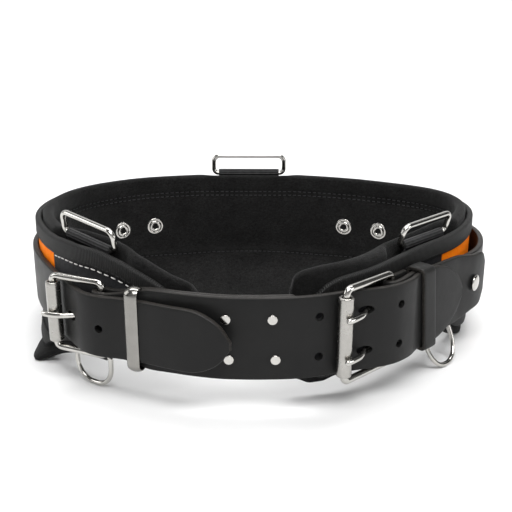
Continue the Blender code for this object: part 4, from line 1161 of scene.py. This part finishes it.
def wire(name, path, radius, plane, node, body="belt", closed=True, flat=1.0, sides=28):
    """A round wire along a flat path of (u, v) in a plane, with domed ends where it is open."""
    points = np.array(path, float)
    widths = [1.0] * len(points)
    if closed:
        tangents = np.roll(points, -1, 0) - np.roll(points, 1, 0)
    else:
        tangents = np.gradient(points, axis=0)
        first, last = [tangents[end] / np.hypot(*tangents[end]) for end in (0, -1)]
        before = [points[0] - first * radius * reach for _, reach in WIRE_DOME[::-1]]
        after = [points[-1] + last * radius * reach for _, reach in WIRE_DOME]
        domed = [width for width, _ in WIRE_DOME]
        widths = domed[::-1] + widths + domed
        tangents = np.vstack([[first] * len(domed), tangents, [last] * len(domed)])
        points = np.vstack([before, points, after])
    origin, u, v, w = plane
    rings = []
    for point, tangent, width in zip(points, tangents, widths):
        normal = np.array([tangent[1], -tangent[0]]) / np.hypot(*tangent)
        ring = []
        for k in range(sides):
            angle = 2 * math.pi * (k + 0.5) / sides
            a, b = point + normal * radius * width * math.cos(angle) * flat
            ring.append(origin + u * a + v * b + w * radius * width * math.sin(angle))
        rings.append(ring)
    sweep(name, rings, "steel", node, closed, body=body, sharp=70)


def build_buckle(prefix, sizes, prongs):
    """Frame, roller and prongs of one roller buckle: each prong's name and height."""
    heel_arc, heel_offset, roller_arc, roller_offset, tall, roller_length = sizes
    heel = LINE.place(heel_arc, heel_offset)
    roller = LINE.place(roller_arc, roller_offset)
    reach = float(np.hypot(*(roller - heel)))
    along = (roller - heel) / reach
    radii = [HEEL_CORNER, ROLLER_CORNER, ROLLER_CORNER, HEEL_CORNER]
    path = dense(rounded_box(0.0, reach, -tall / 2, tall / 2, radii))
    plane = plane_at((*heel, MID), (*along, 0.0), (0, 0, 1))
    wire(prefix + "_frame_steel", path, WIRE, plane, prefix + "_buckle_frame")
    build_roller(prefix + "_roller", (*roller, MID), roller_length, along)
    for name, height in prongs:
        build_prong(prefix + name, heel, along, reach, height)


def build_roller(node, centre, length, forward):
    """The sleeve on a buckle's front bar: rolled sheet with a fine seam and turned-in ends."""
    turn, depth, spread = ROLLER_SEAM
    seam = math.atan2(forward[1], forward[0]) - math.radians(turn)
    end = length / 2
    lip = [(radius, inward - end) for radius, inward in ROLLER_LIP]
    barrel = [(ROLLER, height) for height in np.linspace(3 - end, end - 3, 12)]
    rings = []
    for radius, height in lip + barrel + [(radius, -height) for radius, height in lip[::-1]]:
        ring = []
        for k in range(ROLLER_SIDES):
            angle = 2 * math.pi * k / ROLLER_SIDES
            away = abs((angle - seam + math.pi) % (2 * math.pi) - math.pi)
            notch = depth * math.exp(-(away / spread) ** 2) if radius > ROLLER_BORE else 0.0
            reach = radius - notch
            x, y = reach * math.cos(angle), reach * math.sin(angle)
            ring.append((centre[0] + x, centre[1] + y, centre[2] + height))
        rings.append(ring)
    sweep(node + "_steel", rings, "satin", node, True, body=node, sharp=60)


def build_prong(name, heel, along, reach, height):
    """A prong: an open eye around the heel bar and a shaft that rises through the strap onto the roller."""
    outward = np.array([-along[1], along[0]])
    if np.dot(outward, heel) < 0:
        outward = -outward
    eye = WIRE + GAP + PRONG
    path = bow(0, 0, eye, eye, *PRONG_EYE, 30)
    shaft = [path[-1]] + [(share * reach, rise) for share, rise in PRONG_RUN]
    path = path[:-1] + catmull(shaft, 8)
    plane = plane_at((*heel, height), (*along, 0.0), (*outward, 0.0))
    wire(name + "_steel", path, PRONG, plane, name, closed=False, flat=0.92, sides=24)


def dome(radius, rise, lip):
    """Profile of a domed head from its rim to near its middle: radius, height over the face."""
    return bow(0.0, lip, radius, rise - lip, 0, 90, 8)[:-1] + [(0.05, rise)]


def eyelet(radius, bore, rise):
    """Profile of an eyelet from its rim over a washer and a rolled barrel into the bore: radius, height."""
    groove = bore + 0.56 * (radius - bore)
    rows = [(radius, 0.05), (radius, 0.2 * rise)]
    for outer, inner, low, high in ((radius, groove, 0.2, 0.62), (groove, bore, 0.25, 1.0)):
        for across, up in bow((outer + inner) / 2, 0.0, (outer - inner) / 2, 1.0, 0, 180, 8)[1:-1]:
            rows.append((across, (low + (high - low) * up**0.7) * rise))
    return rows + [(bore, 0.1 * rise)]


def flat_head(radius, rise, corner=0.45):
    """Profile of a flat rivet head with a rounded rim: radius, height."""
    rim = bow(radius - corner, rise - corner, corner, corner, 0, 90, 4)
    return [(radius, 0.05), *rim, (radius * 0.5, rise + 0.06), (0.05, rise + 0.08)]


def rivet(name, place, seats, heads, shank, steps, sides=56):
    """A rivet or eyelet turned about the outward direction.

    place is its arc and height, seats are the offsets of its inner and outer head, heads are their
    profiles, and steps are how far outwards the shank's ends lie from the seats.
    """
    arc, height = place
    profile = [(radius, seats[0] - rise) for radius, rise in heads[0][::-1]]
    profile += [(shank, seat + step) for seat, step in zip(seats, steps)]
    profile += [(radius, seats[1] + rise) for radius, rise in heads[1]]
    turn = np.array(Vector((*LINE.normal(arc), 0.0)).to_track_quat("Z", "Y").to_matrix())
    origin = np.array(to_space(arc, 0.0, height))
    rings = [
        [origin + turn @ np.array([x, y, offset]) for x, y in bow(0, 0, radius, radius, 0, 360, sides)[:-1]]
        for radius, offset in profile
    ]
    sweep(name + "_steel", rings, "steel", name, profile[0][0] > 1.0, sharp=50)


def build_rivets():
    """Eyelet rivets through the pad, small rivets through the front strap and the chape's domed rivet."""
    for index, arc in enumerate(BACK_RIVETS, 1):
        seats = (LINER_INNER + EYELET_SINK, STRAP + 2 * GAP)
        heads = [eyelet(radius, EYELET_BORE, EYELET_RISE) for radius in EYELETS]
        rivet("back_rivet_%d" % index, (arc, MID), seats, heads, EYELET_SHANK, (0.05, 0.05))
    for index, (arc, height) in enumerate(FRONT_RIVETS, 1):
        inner = smooth(FOLD_RUN, 1, arc) - FRONT_STRAP - FRONT_SEATS[0]
        seats = (inner, smooth(FRONT_RUN, 1, arc) + FRONT_SEATS[1])
        heads = (dome(FRONT_RIVET, 0.9, 0.3), flat_head(FRONT_RIVET, 1.0))
        rivet("front_rivet_%d" % index, (arc, height), seats, heads, FRONT_RIVET_SHANK, (-0.05, 0.05))
    arc = CHAPE_RIVET[0]
    inner = smooth(BACK_STRAP, 1, arc) - STRAP - CHAPE_SEATS[0]
    seats = (inner, smooth(CHAPE_RUN, 1, arc) + CHAPE_SEATS[1])
    heads = [dome(*head) for head in CHAPE_HEADS]
    rivet("chape_rivet", CHAPE_RIVET, seats, heads, CHAPE_RIVET_SHANK, (0.0, 0.0))


def keeper(name, node, paint, sizes, inner, outer, tall, slant=0.0):
    """A loop around straps: a flat band around a rounded box across the belt, slanting along it.

    sizes are its arc, half length along the belt, wall, wall at its ends, corner radius and crown.
    inner and outer are the box's offsets, and tall is half its height.
    """
    arc, half, thick, ends, corner, crown = sizes
    low, high = MID - tall, MID + tall
    path = rounded_box(inner - thick / 2, outer + thick / 2, low - ends / 2, high + ends / 2, [corner] * 4)
    points = np.array(dense(path, 1.5))
    tangents = np.roll(points, -1, 0) - np.roll(points, 1, 0)
    rings = []
    edges = []
    for (offset, height), tangent in zip(points, tangents):
        out_offset, out_height = np.array([tangent[1], -tangent[0]]) / np.hypot(*tangent)
        wall = (thick + (ends - thick) * abs(out_height)) / 2
        outline = []
        for share in np.linspace(-1, 1, 9):
            outline.append((share * (half - 0.35), wall - crown * share**2, 0.0))
        rim = [(half - 0.1, wall - crown - 0.15, 0.7), (half, wall - crown - 0.4, 1.0)]
        rim += [(half, 0.25 - wall, 1.0), (half - 0.25, -wall, 0.6)]
        outline += rim + [(0.0, -wall, 0.0)]
        outline += [(-along, out, cut_share) for along, out, cut_share in rim[::-1]]
        ring = []
        for along, out, _ in outline:
            place = arc + along - slant * (height - MID) / (high - MID)
            ring.append(to_space(place, offset + out_offset * out, height + out_height * out))
        rings.append(ring)
        edges.append([cut_share for _, _, cut_share in outline])
    sweep(name, rings, paint, node, True, edge=edges, sharp=50)


def build_keepers():
    """The metal loop on the left and the leather loop on the right that hold the strap ends down."""
    arc = METAL_KEEPER_ARC
    inner = widest(FOLD_RUN, arc, METAL_KEEPER_HALF, 1) + GAP + METAL_KEEPER
    outer = widest(BACK_STRAP, arc + LINE.length, METAL_KEEPER_HALF, 1) + GAP
    tall = smooth(FRONT_RUN, 2, arc) + METAL_KEEPER_ROOM
    sizes = (arc, METAL_KEEPER_HALF, METAL_KEEPER, METAL_KEEPER_ENDS, METAL_KEEPER_CORNER, METAL_KEEPER_CROWN)
    keeper("metal_keeper_steel", "metal_keeper", "loop", sizes, inner, outer, tall)
    arc = LEATHER_KEEPER_ARC
    slant = LEATHER_KEEPER_SLANT
    inner = widest(CHAPE_RUN, arc, LEATHER_KEEPER_HALF + slant, -1) - CHAPE - GAP
    outer = widest(FRONT_RUN, arc, LEATHER_KEEPER_HALF + slant, 1) + GAP
    tall = smooth(FRONT_RUN, 2, arc) + GAP
    walls = (LEATHER_KEEPER, LEATHER_KEEPER)
    sizes = (arc, LEATHER_KEEPER_HALF, *walls, LEATHER_KEEPER_CORNER, LEATHER_KEEPER_CROWN)
    keeper("leather_keeper_loop", "leather_keeper", "keeper_leather", sizes, inner, outer, tall, slant)


# Rings and webbing


def bar_place(arc, offset, height, tilt=0.0):
    """Middle of a straight held bar, its direction and the outward direction."""
    x, y = LINE.normal(arc)
    along = Vector((-y, x, math.tan(math.radians(tilt)))).normalized()
    return Vector(to_space(arc, offset, height)), along, Vector((x, y, 0.0))


def ring_plane(place, lean):
    """Plane of a ring on its held bar, leaning outwards by an angle."""
    origin, along, outward = place
    lean = math.radians(lean)
    return plane_at(origin, along, outward * math.sin(lean) + Vector((0, 0, math.cos(lean))))


def webbing_loop(name, node, place, half, radius, thick, legs, length, side):
    """Ribbed webbing folded around a ring's bar: its legs hang down (side 1) or stand up (side -1)."""
    radius += GAP + thick / 2
    bend = -radius - thick - 1.4
    middle = [(legs[0], y) for y in np.linspace(-length, bend, 12)]
    middle += bow(0, 0, radius, radius, *WEBBING_TURN, 32)
    middle += [(legs[1], y) for y in np.linspace(bend, -length, 12)]
    points = smoothed(middle, 2)
    tangents = np.gradient(points, axis=0)
    normals = np.stack([tangents[:, 1], -tangents[:, 0]], 1) / np.hypot(*tangents.T)[:, None]
    outline = np.vstack([points + normals * thick / 2, (points - normals * thick / 2)[::-1]])
    origin, along, outward = [np.array(part) for part in place]
    rings = []
    for position in np.linspace(-half, half, 25):
        squeeze = 0.9 if abs(position) > half - 0.1 else 1.0
        start = origin + along * position
        rings.append([start + outward * across * squeeze + (0, 0, side * rise) for across, rise in outline])
    sweep(name, rings, "webbing", node, sharp=60)


def d_path(drop):
    """Closed path of a D ring: a straight held bar, rounded corners and a round bow below them."""
    inset = D_HALF - D_CORNER
    path = bow(inset, -D_CORNER, D_CORNER, D_CORNER, 90, 0, 6)
    for x, y in bow(0, 0, 1, 1, 0, 180, 32)[1:-1]:
        path.append((D_HALF * math.copysign(abs(x) ** D_ROUND, x), -D_LEG - (drop - D_LEG) * y**D_ROUND))
    return path + bow(-inset, -D_CORNER, D_CORNER, D_CORNER, 180, 90, 6)


def build_rings():
    """Top rings and D rings, each with the webbing that holds it."""
    for name, arc, offset, height, tilt, lean, width in TOP_RINGS:
        place = bar_place(arc, offset, height, tilt)
        path = dense(rounded_box(-width / 2, width / 2, 0.0, RING_HEIGHT, RING_CORNERS))
        node = "ring_" + name
        wire(node + "_steel", path, RING_WIRE, ring_plane(place, lean), node, node)
        half = width / 2 - RING_WEBBING_ROOM
        tab = (half, RING_WIRE, WEBBING, WEBBING_LEGS, WEBBING_LENGTH, 1)
        webbing_loop("webbing_" + name, "ring_webbing_" + name, place, *tab)
    for name, arc, offset, height, drop, lean, length in D_RINGS:
        place = bar_place(arc, offset, height)
        node = "d_ring_" + name
        wire(node + "_steel", dense(d_path(drop)), D_WIRE, ring_plane(place, -lean), node, node)
        inner_leg = D_WEBBING_FACE + D_WEBBING / 2 - offset
        legs = (inner_leg + D_WEBBING + GAP, inner_leg)
        tab = (D_WEBBING_HALF, D_WIRE, D_WEBBING, legs, length, -1)
        webbing_loop("d_tab_" + name, "d_webbing_" + name, place, *tab)


# Studio


def soft_light(name, place, target, size, power):
    """A softbox aimed at a point, with places in metres."""
    data = bpy.data.lights.new(name, "AREA")
    data.shape = "RECTANGLE"
    data.size, data.size_y = size
    data.energy = power
    made = linked(name, data)
    made.location = place
    made.rotation_euler = (Vector(target) - Vector(place)).to_track_quat("-Z", "Y").to_euler()


def build_studio():
    """White floor that runs up into a wall at the back and front, pale world and soft lights."""
    profile = [(FLOOR_FRONT, FLOOR_HEIGHT)]
    profile += bow(FLOOR_FRONT + FLOOR_BEND, FLOOR_BEND, FLOOR_BEND, FLOOR_BEND, 180, 270, 16)
    profile += bow(FLOOR_BACK - FLOOR_BEND, FLOOR_BEND, FLOOR_BEND, FLOOR_BEND, 270, 360, 16)
    profile.append((FLOOR_BACK, FLOOR_HEIGHT))
    count = len(profile)
    mesh = bpy.data.meshes.new("floor")
    mesh.from_pydata(
        [(x, y, z) for x in (-FLOOR_HALF, FLOOR_HALF) for y, z in profile], [],
        [(k, count + k, count + k + 1, k + 1) for k in range(count - 1)],
    )
    mesh.shade_smooth()
    look = Look("floor_white", 0.7, 0.15)
    mesh.materials.append(look.finish(look.ramp(look.noise(2.0, 1.0), tint(0.73, 1.0), tint(0.75, 1.0))))
    floor = linked("floor", mesh)
    world = bpy.data.worlds.new("studio")
    bpy.context.scene.world = world
    world.use_nodes = True
    sky = world.node_tree.nodes["Background"]
    sky.inputs["Color"].default_value = (1.0, 1.0, 1.0, 1.0)
    sky.inputs["Strength"].default_value = 0.08
    for row in LIGHTS:
        soft_light(*row)
    bpy.context.scene.view_settings.view_transform = "Standard"


def build_camera():
    """The photo's camera."""
    data = bpy.data.cameras.new("camera")
    data.lens = CAMERA_LENS
    data.sensor_width = CAMERA_SENSOR
    data.clip_start = 0.01
    camera = linked("camera", data)
    camera.location = (Vector(CAMERA_PLACE) + Vector(SHIFT)) * MM
    camera.rotation_euler = (math.radians(90 - CAMERA_PITCH), 0.0, 0.0)
    bpy.context.scene.camera = camera


build_camera()
build_studio()
build_liner()
build_cover("orange_cover", "orange_panel", "orange", COVER_START, PANEL_SEAM)
build_cover("black_cover", "end_panel_left", "black", PANEL_SEAM + GAP, COVER_END)
build_binding("top_tape", "top_binding", 1, BINDING_TOP, 1)
build_binding("bottom_tape", "bottom_binding", 2, BINDING_BOTTOM, -1)
build_pad_seams()
build_back_strap()
build_front_strap()
build_chape()
build_buckle("left", LEFT_BUCKLE, [("_prong", MID)])
build_buckle("right", RIGHT_BUCKLE, zip(("_prong_lower", "_prong_upper"), PRONG_HEIGHTS))
build_rivets()
build_keepers()
build_rings()
